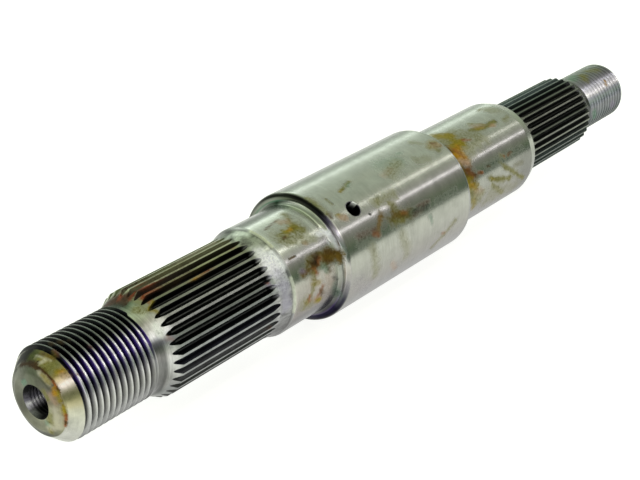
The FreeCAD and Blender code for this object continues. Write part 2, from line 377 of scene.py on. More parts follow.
# groove centres at station 6.12 + 3 k where the camera looks
TH_A = 6.12 - 0.5 * 3.0 - 3.0 * (FRONT / 360.0)
STEPS_A = [(0.0, 0.0), (0.085, 0.0), (0.115, 0.025), (0.25, 0.5), (0.38, 0.97), (0.44, 1.0),
           (0.56, 1.0), (0.62, 0.97), (0.75, 0.5), (0.885, 0.025), (0.915, 0.0)]
thread(A1, B1, 3.9, 43.0, 3.0, TH_A, STEPS_A, 19.5, 1.78, THREAD,
       envelope=lead, end_hi=(43.1, 1.6))

# relief and cone up to the near spline
N_A = 34 * 12
relief = [B1, circle(43.3, 19.0, N1), circle(44.6, 19.0, N1), circle(45.6, 19.0, N1)]
chain(relief, [CONE] * 3)
SA = dict(teeth=34, phase=3.51, tip=23.0, root=21.0, half_tip=1.56, half_foot=0.52, round_rad=0.62)


def cone_rad(x):
    return 19.0 + (x - 45.6) * 4.0 / 6.9


c1 = circle(46.6, cone_rad(46.6), N1)
c2 = circle(47.7, cone_rad(47.7), N_A // 2)
join(relief[-1], c1, CONE)
join(c1, c2, CONE)
first = [tooth_ring(x, cone_rad(x), **SA) for x in (48.95,)]
join(c2, first[0], CONE)
prev = first[0]
for x in (49.35, 49.8, 50.4, 51.1, 51.8, 52.35):
    cur = tooth_ring(x, cone_rad(x), **SA)
    join(prev, cur, SPLINE)
    prev = cur
for x in (52.6, 54.5, 58.0, 63.0, 69.0, 76.0, 83.0, 90.0, 97.0, 103.6):
    cur = tooth_ring(x, 23.0, **SA)
    join(prev, cur, SPLINE)
    prev = cur


def seat_lead(x):
    return 23.0 if x <= 108.6 else 23.0 + (x - 108.6) * 1.1 / 7.8


for x in (104.6, 105.6, 106.5, 107.3, 108.0, 108.6, 109.1, 109.5):
    lift = 10.0 - math.sqrt(100.0 - (x - 103.6) ** 2)
    cur = tooth_ring(x, seat_lead(x), lift=lift, **SA)
    join(prev, cur, SPLINE)
    prev = cur
cur = tooth_ring(109.9, seat_lead(109.9), lift=3.0, **SA)
join(prev, cur, SPLINE)
prev = cur

# near bearing seat
N2 = 204
NJ = [circle(111.2, seat_lead(111.2), N2, 129.1)]
join(prev, NJ[0], RUNOUT)
for x in (112.8, 114.4, 115.6, 116.35):
    NJ.append(circle(x, seat_lead(x), N2, 129.1))
    join(NJ[-2], NJ[-1], RUNOUT)
prev = NJ[-1]
for x, r in ((116.5, 24.16), (117.15, 24.86), (117.32, 25.0)):
    cur = circle(x, r, N2, 129.1)
    join(prev, cur, TURNED)
    prev = cur
for x in rows(117.6, 144.6, 1.45):
    cur = circle(x, 25.0, N2, 129.1)
    join(prev, cur, GROUND)
    prev = cur
# fillet, radius 1.9, and the shoulder's face
for k in range(1, 8):
    t = math.radians(90.0 * k / 7)
    cur = circle(144.9 + 1.9 * math.sin(t), 26.9 - 1.9 * math.cos(t), N2, 129.1)
    join(prev, cur, SHOULDER)
    prev = cur
for r in (27.3, 27.8):
    cur = circle(146.8, r, N2, 129.1)
    join(prev, cur, SHOULDER)
    prev = cur
for k in range(1, 8):
    t = math.radians(90.0 * k / 7)
    cur = circle(149.0 - 2.2 * math.cos(t), 27.8 + 2.2 * math.sin(t), N2, 129.1)
    join(prev, cur, SHOULDER)
    prev = cur

# main journal with the cross hole. Columns are every 360/204 degrees from 129.1.
w_xs = [OIL_X - 5.3 + 10.6 * k / 12 for k in range(13)]
for x in rows(149.4, OIL_X - 6.5, 1.5):
    cur = circle(x, 30.0, N2, 129.1)
    join(prev, cur, GROUND)
    prev = cur
w_rings = [circle(x, 30.0, N2, 129.1) for x in w_xs]
join(prev, w_rings[0], GROUND)
for k in range(12):
    join(w_rings[k], w_rings[k + 1], GROUND, skip=lambda i: i < 6 or i >= N2 - 6)
# hole's own loop has the gallery loop's count of 48 (2 * 12 + 2 * 12, and 2 * 16 + 2 * 8)
h_loop, h_dirs = window(w_rings, w_xs, (-6, 6), 30.0, N2, OIL_X, OIL_A, OIL_R, 0.35, GROUND, True)

ca, sa = math.cos(math.radians(OIL_A)), math.sin(math.radians(OIL_A))


def on_hole(d, w, rad):
    u, v = rad * math.cos(d), rad * math.sin(d)
    # u along x, v round the shaft, w out along the hole
    V.append((OIL_X + u, -v * sa + w * ca, v * ca + w * sa))
    TAG.append(1.0)
    return len(V) - 1


prev_h = h_loop
for step in range(1, 9):
    cur_h = []
    for d in h_dirs:
        v = OIL_R * math.sin(d)
        top = math.sqrt(900.0 - v * v)
        if step == 1:
            cur_h.append(on_hole(d, top - 0.15, OIL_R + 0.1))
        elif step == 2:
            cur_h.append(on_hole(d, top - 0.45, OIL_R))
        else:
            cur_h.append(on_hole(d, top - 0.45 - (top - 0.45 - 6.0) * (step - 2) / 6.0, OIL_R))
    for i in range(48):
        j = (i + 1) % 48
        face(BORE, prev_h[i], cur_h[i], cur_h[j], prev_h[j])
    prev_h = cur_h
# meet the gallery's loop, matching by direction round the hole
A_ = sorted(range(48), key=lambda i: h_dirs[i])
B_ = sorted(range(48), key=lambda i: g_dirs[i])
RA = Ring([prev_h[i] for i in A_], [math.degrees(h_dirs[i]) for i in A_])
RB = Ring([g_loop[i] for i in B_], [math.degrees(g_dirs[i]) for i in B_])
for i in range(48):
    j = (i + 1) % 48
    face(BORE, RB.idx[i], RB.idx[j], RA.idx[j], RA.idx[i])

prev = w_rings[-1]
for x in rows(OIL_X + 6.5, 241.1, 1.6):
    cur = circle(x, 30.0, N2, 129.1)
    join(prev, cur, GROUND)
    prev = cur
for x, r in ((241.32, 30.0), (241.5, 29.9), (242.14, 29.24), (242.2, 29.12)):
    cur = circle(x, r, N2, 129.1)
    join(prev, cur, TURNED)
    prev = cur
# far shoulder and far bearing seat
N3 = 198
for r in (28.6, 27.8):
    cur = circle(242.2, r, N2, 129.1)
    join(prev, cur, TURNED)
    prev = cur
cur = circle(242.2, 27.2, N3)
join(prev, cur, TURNED)
prev = cur
for k in range(0, 8):
    t = math.radians(90.0 * k / 7)
    cur = circle(244.1 - 1.9 * math.cos(t), 26.9 - 1.9 * math.sin(t), N3)
    join(prev, cur, TURNED)
    prev = cur
for x in rows(244.4, 305.7, 1.7):
    cur = circle(x, 25.0, N3)
    join(prev, cur, GROUND)
    prev = cur
for x, r in ((306.0, 24.99), (306.5, 24.87), (308.2, 24.37), (310.0, 23.86), (311.6, 23.4), (312.35, 23.12), (312.56, 22.95), (312.6, 22.7)):
    cur = circle(x, r, N3)
    join(prev, cur, GROUND)
    prev = cur
SB = dict(teeth=33, phase=6.2, tip=19.4, root=17.6, half_tip=1.36, half_foot=0.46, round_rad=0.55)
for r in (21.3, 20.0):
    cur = circle(312.6, r, N3)
    join(prev, cur, TURNED)
    prev = cur
cur = circle(312.62, 19.4, N3)
join(prev, cur, TURNED)
prev = cur
cur = circle(314.5, 19.4, N3)
join(prev, cur, TURNED)
prev = cur
cur = tooth_ring(316.6, 19.4, lift=3.0, **SB)
join(prev, cur, TURNED)
prev = cur
for x in (317.1, 317.7, 318.5, 319.4, 320.4, 321.5):
    lift = 6.0 - math.sqrt(36.0 - (321.5 - x) ** 2)
    cur = tooth_ring(x, 19.4, lift=lift, **SB)
    join(prev, cur, SPLINE_B)
    prev = cur
for x in (327.0, 335.0, 344.0, 353.0, 362.0, 370.0, 375.0, 377.0):
    cur = tooth_ring(x, 19.4, **SB)
    join(prev, cur, SPLINE_B)
    prev = cur


def foot_b(x):
    if x < 377.1:
        return 19.4
    if x < 379.1:
        return 19.4 - (x - 377.1) * 1.9 / 2.0
    return 17.5 - (x - 379.1) * 2.2 / 3.7


for x in (377.25, 377.8, 378.4, 378.85):
    cur = tooth_ring(x, foot_b(x), **SB)
    join(prev, cur, SPLINE_B)
    prev = cur
cur = tooth_ring(379.1, foot_b(379.1), **SB)
join(prev, cur, TURNED)
prev = cur
N4 = 132
for x in (380.0,):
    cur = circle(x, foot_b(x), N3)
    join(prev, cur, TURNED)
    prev = cur
for x, r in ((381.0, foot_b(381.0)), (382.8, 15.3), (385.4, 15.3), (385.5, 15.34)):
    cur = circle(x, r, N4)
    join(prev, cur, TURNED)
    prev = cur

# far thread, 3 mm pitch, shallow
A4 = circle(385.65, 15.4, N4)
join(prev, A4, THREAD_B)
B4 = circle(420.9, 15.58, N4)
STEPS_B = [(0.0, 0.0), (0.19, 0.0), (0.27, 0.12), (0.42, 0.95), (0.50, 1.0), (0.58, 0.95), (0.73, 0.12), (0.81, 0.0)]


def out_b(x):
    return 15.4 + (x - 385.65) * 0.5 if x < 386.05 else 15.6


thread(A4, B4, 385.65, 420.9, 3.0, 383.6, STEPS_B, 15.6, 0.32, THREAD_B, envelope=out_b,
       end_hi=(421.4, 1.0), end_lo=(385.9, 1.5))
prev = B4
for x, r in ((421.45, 15.58), (421.75, 15.46), (422.4, 14.9), (423.0, 14.38), (423.16, 14.1), (423.2, 13.8)):
    cur = circle(x, r, N4)
    join(prev, cur, THREAD_B if x < 422 else FACE)
    prev = cur
for r, n in ((11.0, 66), (7.5, 66), (4.6, 33), (3.5, 33), (3.2, 33)):
    cur = circle(423.2 if r > 3.3 else 423.1, r, n)
    join(prev, cur, FACE)
    prev = cur
for x, r in ((423.2 - 2.9, 1.5), (423.2 - 6.0, 1.5)):
    cur = circle(x, r, 33, deep=1.0)
    join(prev, cur, BORE)
    prev = cur
last = add(423.2 - 6.9, 0.0, 0.0, 1.0)
for i in range(33):
    face(BORE, prev.idx[i], prev.idx[(i + 1) % 33], last)

# keep only the vertices that a face uses
used = sorted(set(i for f in F for i in f))
place = {old: new for new, old in enumerate(used)}
F = [tuple(place[i] for i in f) for f in F]
V = [V[i] for i in used]
TAG = [TAG[i] for i in used]

co = np.array(V)
stations = co[:, 0].copy()
radii = np.hypot(co[:, 1], co[:, 2])
angles = np.degrees(np.arctan2(co[:, 2], co[:, 1]))
world = np.stack([(co[:, 0] + X0) / 1000.0, co[:, 1] / 1000.0, (co[:, 2] + AXIS_Z) / 1000.0], 1)

mesh = bpy.data.meshes.new("shaft_skin")
mesh.from_pydata([tuple(p) for p in world], [], F)
mesh.update()
mesh.polygons.foreach_set("material_index", M)
mesh.polygons.foreach_set("use_smooth", [True] * len(F))
shaft = bpy.data.objects.new("shaft_skin", mesh)
bpy.context.scene.collection.objects.link(shaft)
mesh.set_sharp_from_angle(angle=math.radians(38))
deep = mesh.attributes.new("deep", "FLOAT", "POINT")
deep.data.foreach_set("value", np.array(TAG, np.float32))

tris = sum(len(f) - 2 for f in F)
print("shaft: %d vertices, %d faces, %d triangles" % (len(V), len(F), tris))

# ------------------------------------------------------------------ wear map, painted light and shade
# Every stain and tone has its place on the shaft: a station in units of the
# main journal's radius (30 mm), and an angle in degrees, 0 on the side that
# the camera faces and positive downwards.

theta = (angles - FRONT + 180.0) % 360.0 - 180.0
count = len(V)
zone = np.zeros(count, int)
for f, k in zip(F, M):
    for i in f:
        zone[i] = k


def noise3(p, seed):
    """Smooth noise from 0 to 1 at points p, on a lattice of unit spacing."""
    table = np.random.RandomState(seed).rand(32, 32, 32)
    i = np.floor(p).astype(int)
    f = p - i
    f = f * f * (3 - 2 * f)
    out = np.zeros(len(p))
    for dx in (0, 1):
        for dy in (0, 1):
            for dz in (0, 1):
                w = (f[:, 0] if dx else 1 - f[:, 0]) * (f[:, 1] if dy else 1 - f[:, 1]) * (f[:, 2] if dz else 1 - f[:, 2])
                out += w * table[(i[:, 0] + dx) % 32, (i[:, 1] + dy) % 32, (i[:, 2] + dz) % 32]
    return out


def cloud(p, seed, octaves=3):
    total, amp, norm = np.zeros(len(p)), 1.0, 0.0
    for k in range(octaves):
        total += amp * noise3(p * (2.0 ** k), seed + k)
        norm += amp
        amp *= 0.55
    return total / norm


n_mid = cloud(co / 4.2, 21)
n_fine = cloud(co / 1.5, 31)


def tone(places, t=None):
    """Colours blended between angles: [(angle, (r, g, b)), ...]."""
    t = theta if t is None else t
    a = [p[0] for p in places]
    return np.stack([np.interp(t, a, [p[1][k] for p in places]) for k in range(3)], 1)


def g(v):
    return (v, v, v)


# steel of each zone, with light and shade painted in by angle: painted highlights where the lamps reflect, painted
# shade and dark reflections elsewhere, darkest towards the underside
base = np.tile(np.array((0.40, 0.415, 0.365)), (count, 1))
tone_by_zone = {
    GROUND: [(-180, (0.40, 0.415, 0.365)), (-110, (0.38, 0.395, 0.35)), (-84, (0.33, 0.345, 0.31)), (-74, (0.31, 0.33, 0.30)), (-66, (0.33, 0.35, 0.31)),
             (-58, (0.42, 0.44, 0.40)), (-50, (0.40, 0.415, 0.37)), (-20, (0.40, 0.415, 0.365)), (-14, (0.42, 0.425, 0.365)), (0, (0.41, 0.415, 0.39)), (14, (0.39, 0.44, 0.36)),
             (24, (0.40, 0.42, 0.37)), (40, (0.375, 0.385, 0.345)), (50, (0.335, 0.335, 0.305)), (58, (0.295, 0.29, 0.27)), (65, (0.235, 0.235, 0.225)), (70, (0.19, 0.19, 0.185)), (75, (0.13, 0.13, 0.13)),
             (80, (0.09, 0.09, 0.09)), (90, (0.10, 0.10, 0.10)), (115, (0.34, 0.345, 0.32)), (140, (0.40, 0.41, 0.37)), (180, (0.40, 0.415, 0.365))],
    TURNED: [(-180, g(0.38)), (-60, g(0.36)), (0, g(0.42)), (40, g(0.34)), (70, g(0.26)), (110, g(0.32)), (180, g(0.38))],
    FACE: [(-180, (0.16, 0.16, 0.12)), (-90, (0.16, 0.165, 0.13)), (-60, (0.125, 0.14, 0.09)), (-25, (0.13, 0.13, 0.09)), (-5, (0.15, 0.14, 0.11)),
           (20, (0.22, 0.19, 0.125)), (45, (0.30, 0.30, 0.18)), (62, (0.34, 0.34, 0.20)), (90, (0.30, 0.30, 0.21)), (130, (0.22, 0.22, 0.16)), (180, (0.16, 0.16, 0.12))],
    CHAMFER: [(-180, (0.10, 0.10, 0.06)), (-100, (0.25, 0.25, 0.18)), (-88, (0.20, 0.20, 0.12)), (-78, (0.02, 0.022, 0.004)), (-66, (0.04, 0.045, 0.008)), (-55, (0.16, 0.15, 0.04)),
              (-38, (0.24, 0.22, 0.10)), (-26, (0.28, 0.27, 0.14)), (-17, (0.36, 0.27, 0.11)), (-8, (0.75, 0.60, 0.45)), (-3, (1.0, 0.88, 0.86)), (3, (0.85, 0.74, 0.66)), (10, (0.46, 0.40, 0.25)),
              (18, (0.42, 0.38, 0.20)), (27, (0.46, 0.42, 0.27)), (34, (0.50, 0.49, 0.38)), (50, (0.56, 0.56, 0.48)), (75, (0.48, 0.48, 0.44)), (120, (0.4, 0.4, 0.33)), (180, (0.10, 0.10, 0.06))],
    CONE: [(-180, (0.35, 0.36, 0.30)), (-80, (0.010, 0.020, 0.008)), (-62, (0.012, 0.03, 0.010)), (-50, (0.20, 0.25, 0.17)), (-40, (0.70, 0.74, 0.60)), (-28, (0.92, 0.93, 0.80)), (-18, (0.70, 0.66, 0.62)),
           (-8, (0.95, 0.92, 0.92)), (1, (1.0, 0.98, 1.0)), (4, (0.78, 0.76, 0.84)), (8, (0.40, 0.38, 0.46)), (12, (0.48, 0.46, 0.54)), (16, (0.78, 0.75, 0.78)), (20, (0.94, 0.90, 0.90)), (26, (0.84, 0.81, 0.81)), (35, (0.70, 0.70, 0.69)),
           (45, (0.62, 0.62, 0.60)), (55, (0.52, 0.52, 0.50)), (70, (0.32, 0.32, 0.31)), (80, (0.20, 0.21, 0.20)), (180, (0.35, 0.36, 0.30))],
    SHOULDER: [(-180, (0.12, 0.13, 0.11)), (-95, (0.22, 0.24, 0.20)), (-75, (0.17, 0.19, 0.15)), (-62, (0.10, 0.12, 0.08)), (-52, (0.045, 0.05, 0.035)), (-30, (0.030, 0.030, 0.026)), (-18, (0.04, 0.036, 0.055)),
               (-10, (0.12, 0.10, 0.16)), (-2, (0.36, 0.32, 0.38)), (6, (0.80, 0.78, 0.90)), (12, (1.0, 1.0, 1.0)), (22, (1.0, 1.0, 0.98)), (32, (0.90, 0.87, 0.80)), (44, (0.50, 0.49, 0.47)), (54, (0.22, 0.22, 0.22)), (64, (0.10, 0.105, 0.115)),
               (76, (0.012, 0.010, 0.028)), (100, (0.014, 0.012, 0.03)), (140, (0.10, 0.10, 0.11)), (180, (0.12, 0.13, 0.11))],
    THREAD_B: [(-180, (0.30, 0.31, 0.30)), (-90, (0.28, 0.31, 0.27)), (-50, (0.19, 0.21, 0.185)), (-28, (0.235, 0.23, 0.265)), (-20, (0.32, 0.31, 0.37)), (-14, (0.66, 0.66, 0.74)), (-2, (1.0, 1.0, 1.0)), (3, (1.0, 1.0, 1.0)),
               (8, (0.85, 0.86, 1.0)), (15, (0.90, 0.98, 1.0)), (22, (0.44, 0.47, 0.50)), (30, (0.27, 0.29, 0.275)), (42, (0.17, 0.19, 0.18)), (50, (0.13, 0.155, 0.145)), (65, (0.08, 0.10, 0.09)), (80, (0.05, 0.065, 0.06)), (180, (0.30, 0.31, 0.30))],
    RUNOUT: [(-180, g(0.36)), (-82, (0.20, 0.22, 0.19)), (-72, (0.16, 0.18, 0.15)), (-64, (0.40, 0.43, 0.38)), (-56, (0.56, 0.59, 0.52)), (-48, (0.42, 0.44, 0.38)), (-40, (0.40, 0.41, 0.36)), (-28, (0.55, 0.55, 0.52)), (-20, (0.80, 0.79, 0.78)), (-10, (0.92, 0.90, 0.94)), (-3, (1.0, 0.98, 1.0)), (6, (0.95, 0.94, 1.0)), (14, (1.0, 1.0, 1.0)),
             (20, (0.80, 0.79, 0.84)), (30, (0.42, 0.41, 0.41)), (50, (0.46, 0.46, 0.47)), (65, (0.30, 0.30, 0.30)), (75, (0.12, 0.12, 0.12)), (180, g(0.36))],
    BORE: [(-180, (0.05, 0.045, 0.06)), (180, (0.05, 0.045, 0.06))],
}
for k, places in tone_by_zone.items():
    sel = zone == k
    base[sel] = tone(places)[sel]

# grooves of the near thread: crest, flank and root by angle, with painted highlights on crests and flanks that face the
# lamps and painted shade down in the grooves
tag = np.array(TAG)
crest = tone([(-180, (0.30, 0.30, 0.30)), (-60, (0.10, 0.11, 0.10)), (-42, (0.13, 0.135, 0.13)), (-28, (0.24, 0.24, 0.25)), (-14, (0.72, 0.69, 0.78)), (-2, (1.0, 0.98, 1.0)), (10, (0.85, 0.84, 0.90)),
              (20, (0.62, 0.61, 0.62)), (40, (0.52, 0.52, 0.50)), (65, (0.36, 0.36, 0.36)), (80, (0.16, 0.16, 0.16)), (180, (0.30, 0.30, 0.30))])
flank = tone([(-180, (0.05, 0.05, 0.055)), (-60, (0.006, 0.007, 0.006)), (-28, (0.010, 0.009, 0.020)), (-14, (0.13, 0.07, 0.36)), (0, (0.24, 0.16, 0.56)), (12, (0.18, 0.15, 0.34)),
              (22, (0.34, 0.33, 0.37)), (40, (0.44, 0.44, 0.43)), (65, (0.34, 0.34, 0.34)), (180, (0.05, 0.05, 0.055))])
root = tone([(-180, g(0.012)), (-30, (0.010, 0.010, 0.012)), (-5, (0.016, 0.010, 0.06)), (15, (0.012, 0.010, 0.03)), (30, (0.06, 0.06, 0.06)), (60, (0.10, 0.10, 0.10)), (100, g(0.03)), (180, g(0.012))])
crest_w = np.interp(theta, [-180, -60, -25, -8, 8, 25, 60, 180], [0.25, 0.10, 0.12, 0.30, 0.40, 0.46, 0.50, 0.25])
gulf = base.copy()
gulf_a = np.zeros(count)
a2 = np.clip((tag - crest_w) / 0.45, 0, 1)[:, None]
sel = zone == THREAD
base[sel] = crest[sel]
gulf[sel] = (flank * (1 - a2) + root * a2)[sel]
gulf_a[sel] = (tag / crest_w)[sel]
# the thread's first turns take the chamfer's painted light and shade
sel = (zone == THREAD) & (stations < 6.6)
edge_tone = tone(tone_by_zone[CHAMFER])
k = np.clip((6.6 - stations) / 1.2, 0, 1)[:, None]
base[sel] = (base * (1 - k) + edge_tone * k)[sel]
# the far thread: painted shade low down, and its grooves painted darker for their shade
sel = zone == THREAD_B
base[sel] *= np.array((0.98, 0.93, 1.04)) * np.interp(theta, [-180, 40, 55, 90, 180], [1, 1, 0.84, 0.84, 1])[sel][:, None]
base[sel] = np.clip(base[sel], 0, 1)
gulf[sel] = 0.62 * base[sel]
gulf_a[sel] = (tag * 1.5 * np.clip((stations - 386) / 14.0, 0.1, 1))[sel]

# tooth lands, with painted light and shade by angle, and the spaces between them, painted near-black for the shade down
# in them
land_a = tone([(-180, (0.30, 0.30, 0.26)), (-75, (0.34, 0.36, 0.25)), (-55, (0.26, 0.26, 0.16)), (-38, (0.27, 0.26, 0.16)), (-25, (0.27, 0.27, 0.25)), (0, (0.30, 0.30, 0.295)), (16, (0.46, 0.47, 0.48)), (25, (0.31, 0.32, 0.32)),
               (45, (0.30, 0.31, 0.31)), (70, (0.22, 0.23, 0.23)), (180, (0.30, 0.30, 0.26))])
space_a = tone([(-180, (0.02, 0.02, 0.018)), (-75, (0.13, 0.14, 0.08)), (-60, (0.075, 0.075, 0.04)), (-52, (0.02, 0.018, 0.010)), (-45, (0.007, 0.006, 0.004)), (-36, (0.004, 0.003, 0.002)), (-20, (0.005, 0.005, 0.005)), (20, (0.005, 0.006, 0.007)),
                (42, (0.012, 0.012, 0.020)), (60, (0.06, 0.06, 0.065)), (80, (0.07, 0.07, 0.07)), (180, (0.02, 0.02, 0.018))])
land_b = tone([(-180, (0.30, 0.31, 0.28)), (-75, (0.07, 0.10, 0.095)), (-58, (0.06, 0.085, 0.08)), (-40, (0.10, 0.12, 0.11)), (-22, (0.17, 0.175, 0.16)), (-10, (0.22, 0.22, 0.20)), (20, (0.30, 0.30, 0.27)), (40, (0.22, 0.235, 0.19)), (60, (0.11, 0.13, 0.12)), (180, (0.30, 0.31, 0.28))])
space_b = tone([(-180, (0.02, 0.022, 0.022)), (-75, (0.07, 0.10, 0.095)), (-50, (0.014, 0.022, 0.022)), (-38, (0.005, 0.006, 0.008)), (-25, (0.004, 0.004, 0.004)), (38, (0.004, 0.004, 0.005)), (50, (0.010, 0.016, 0.016)),
                (62, (0.04, 0.055, 0.05)), (80, (0.05, 0.065, 0.06)), (180, (0.02, 0.022, 0.022))])
for z_, land, space, mid, edge in ((SPLINE, land_a, space_a, 0.06, 0.03), (SPLINE_B, 0.84 * land_b, space_b, 0.0, 0.012)):
    sel = zone == z_
    base[sel] = land[sel]
    # a painted faint highlight along the middle of each space's floor
    floor_highlight = np.clip((tag - 0.93) / 0.05, 0, 1)[:, None] * mid * np.clip(1.4 - abs(theta) / 28.0, 0, 1)[:, None]
    gulf[sel] = (space + floor_highlight)[sel]
    gulf_a[sel] = ((tag - 0.001) / edge)[sel]
# painted highlight on the floors where the cutter lifts out of the near spline
lifted = (zone == SPLINE) & (stations > 104.0)
k = np.clip((stations - 106.8) / 2.2, 0, 1) * np.clip(1.3 - abs(theta + 6) / 32.0, 0, 1)
wedge = tone([(-180, (0.3, 0.3, 0.3)), (-30, (0.40, 0.40, 0.38)), (-5, (0.80, 0.78, 0.86)), (14, (0.78, 0.77, 0.88)), (40, (0.3, 0.3, 0.32)), (180, (0.3, 0.3, 0.3))])
gulf[lifted] = (gulf * (1 - k[:, None]) + wedge * k[:, None])[lifted]
k = np.clip((stations - 105.5) / 4.5, 0, 1)[:, None]
leaving = tone(tone_by_zone[RUNOUT])
base[lifted] = (base * (1 - k) + leaving * k)[lifted]
# towards the seat the run-out's spaces lose their painted shade and take the run-out's painted light
k = np.clip((stations - np.interp(theta, [-20, 5, 20, 60], [109.0, 109.0, 110.0, 110.2])) / 2.0, 0, 1)[:, None]
gulf[lifted] = (gulf * (1 - k) + leaving * k)[lifted]

# the shoulder's fillet carries painted highlights and reflections, and its rounded edge is painted dark above, a
# painted dark reflection
sel = (zone == SHOULDER) & (radii < 26.95)
painted_fillet_light = tone([(-180, g(0.3)), (-100, (0.12, 0.20, 0.14)), (-72, (0.04, 0.10, 0.06)), (-60, (0.10, 0.13, 0.10)), (-52, (0.62, 0.64, 0.56)), (-30, (0.85, 0.85, 0.74)), (-10, (1.0, 0.98, 1.0)), (8, (0.62, 0.64, 0.80)),
               (20, (0.45, 0.52, 0.50)), (40, (0.50, 0.52, 0.48)), (60, (0.25, 0.24, 0.28)), (75, (0.05, 0.03, 0.10)), (180, g(0.3))])
k = np.clip((radii - 26.35) / 0.35, 0, 1)[:, None]
first = np.clip((25.35 - radii) / 0.25, 0, 1)
# the seat's end beside the fillet is painted lighter, a painted reflection of the shoulder, and painted near-black at
# the top corner for shade
ground = tone(tone_by_zone[GROUND]) * (np.interp(theta, [-180, -80, -60, -20, -8, 5, 20, 60, 180], [1, 0.6, 0.62, 0.68, 1.2, 1.3, 1.0, 0.6, 1])
                                       + first * np.interp(theta, [-180, -80, -60, -20, -8, 5, 180], [0, 0.6, 1.2, 1.2, 0.8, 0.2, 0]))[:, None]
corner = np.clip(1.0 - abs(theta + 74) / 16.0, 0, 1)[:, None]
ground = ground * (1 - corner) + np.array((0.012, 0.03, 0.014)) * corner
base[sel] = (ground * (1 - k) + painted_fillet_light * k)[sel]
band = (zone == SHOULDER) & (radii > 28.1)
k = np.clip((radii - 28.1) / 0.5, 0, 1)[:, None]
shade = tone([(-180, g(0.10)), (-100, (0.06, 0.065, 0.055)), (-80, (0.012, 0.014, 0.010)), (-50, (0.006, 0.006, 0.005)), (-22, (0.007, 0.007, 0.008)), (-12, (0.07, 0.06, 0.10)), (-5, (0.42, 0.38, 0.46)), (4, (0.7, 0.66, 0.74)),
              (12, (0.62, 0.66, 0.68)), (30, (0.50, 0.48, 0.44)), (48, (0.22, 0.22, 0.22)), (62, (0.05, 0.05, 0.07)), (76, (0.004, 0.003, 0.012)), (100, (0.004, 0.003, 0.010)), (180, g(0.10))])
base[band] = (base * (1 - k) + shade * k)[band]
out_edge = (zone == SHOULDER) & (radii > 29.6)
k = np.clip((radii - 29.72) / 0.24, 0, 1)[:, None]
rimlight = tone([(-180, (0.40, 0.41, 0.37)), (-14, (0.40, 0.41, 0.37)), (-9, (0.8, 0.78, 0.76)), (4, (0.85, 0.8, 0.8)), (9, (0.4, 0.38, 0.38)), (60, (0.36, 0.36, 0.34)), (180, (0.40, 0.41, 0.37))])
base[out_edge] = (base * (1 - k) + rimlight * k)[out_edge]

# the nose's bevel: a painted darker reflection on the side that mirrors the floor
sel = (zone == FACE) & (radii > 11.5)
k = np.interp(theta, [-180, -160, -130, -110, -60, 50, 70, 90, 110, 140, 180], [0.9, 0.75, 0.5, 0.15, 0, 0, 0.25, 0.6, 0.9, 1.0, 0.9]) * np.clip((radii - 11.5) / 1.5, 0, 1)
base[sel] *= (1 - k[:, None] * np.array((0.86, 0.86, 0.90)))[sel]
# painted shade on the relief between the near thread and the cone, most of all low down
sel = (zone == TURNED) & (stations > 42.5) & (stations < 46.2)
base[sel] *= np.interp(theta, [-180, -60, -45, -20, 0, 12, 22, 60, 90, 180], [0.8, 0.8, 0.55, 0.62, 0.62, 0.45, 0.28, 0.30, 0.3, 0.8])[sel][:, None]
# painted shade on the last turns of the near thread, low down
sel = (zone == THREAD) & (stations > 37.0)
k = np.clip((stations - 38.0) / 3.0, 0, 1) * np.interp(theta, [-180, 16, 30, 75, 110, 180], [0, 0, 1, 1, 0.5, 0])
base[sel] *= (1 - 0.5 * k)[sel][:, None]
gulf[sel] *= (1 - 0.4 * k)[sel][:, None]
# a painted highlight where the teeth begin: the cone's lit tone carried onto them
sel = (zone == SPLINE) & (stations < 53.5)
k = (0.8 * np.clip((53.0 - stations) / 2.6, 0, 1) * np.interp(theta, [-180, -40, -18, 0, 50, 70, 180], [0, 0, 0.6, 1, 1, 0.2, 0]))[:, None]
base[sel] = (base * (1 - k) + tone(tone_by_zone[CONE]) * k)[sel]
# painted shade on the upper side of the cone at its foot
sel = (zone == CONE) & (theta > -60) & (theta < -8)
base[sel] *= (1 - 0.34 * np.interp(stations, [46.0, 47.7, 49.2], [1.0, 0.7, 0.0]))[sel][:, None]
# painted shade on the face beyond 110 degrees either side
sel = (zone == FACE) & (radii > 7.4)
base[sel] *= np.interp(theta, [-180, -150, -110, 80, 110, 180], [0.74, 0.76, 1, 1, 0.76, 0.74])[sel][:, None]
# painted shade on the upper side of the near thread's first turns
sel = (zone == THREAD) & (stations < 14) & (theta < -20)
k = np.clip((14 - stations) / 8, 0, 1) * np.interp(theta, [-100, -70, -40, -20], [0.3, 1, 1, 0])
base[sel] *= (1 - 0.3 * k)[sel][:, None]
# painted shade on the low side of the run-out
sel = (zone == RUNOUT) & (theta > 20)
base[sel] *= np.interp(theta, [20, 34, 60, 90], [1, 0.74, 0.74, 1])[sel][:, None]
# painted shade on the low side of the cone's foot
sel = (zone == CONE) | ((zone == TURNED) & (stations > 45.8) & (stations < 49.5))
k = np.interp(stations, [46.6, 47.7, 48.8], [1.0, 0.12, 0.0]) * np.interp(theta, [-180, 4, 14, 75, 110, 180], [0, 0, 1, 1, 0.6, 0])
base[sel] *= (1 - 0.66 * k)[sel][:, None]
# painted shade on the far seat's low side towards its end
sel = (zone == GROUND) & (stations > 285) & (stations < 313)
k = np.clip((stations - 286) / 12, 0, 1) * np.interp(theta, [-180, 18, 26, 60, 85, 110, 180], [0, 0, 0.32, 0.38, 0.2, 0, 0])
base[sel] *= (1 - k)[sel][:, None]

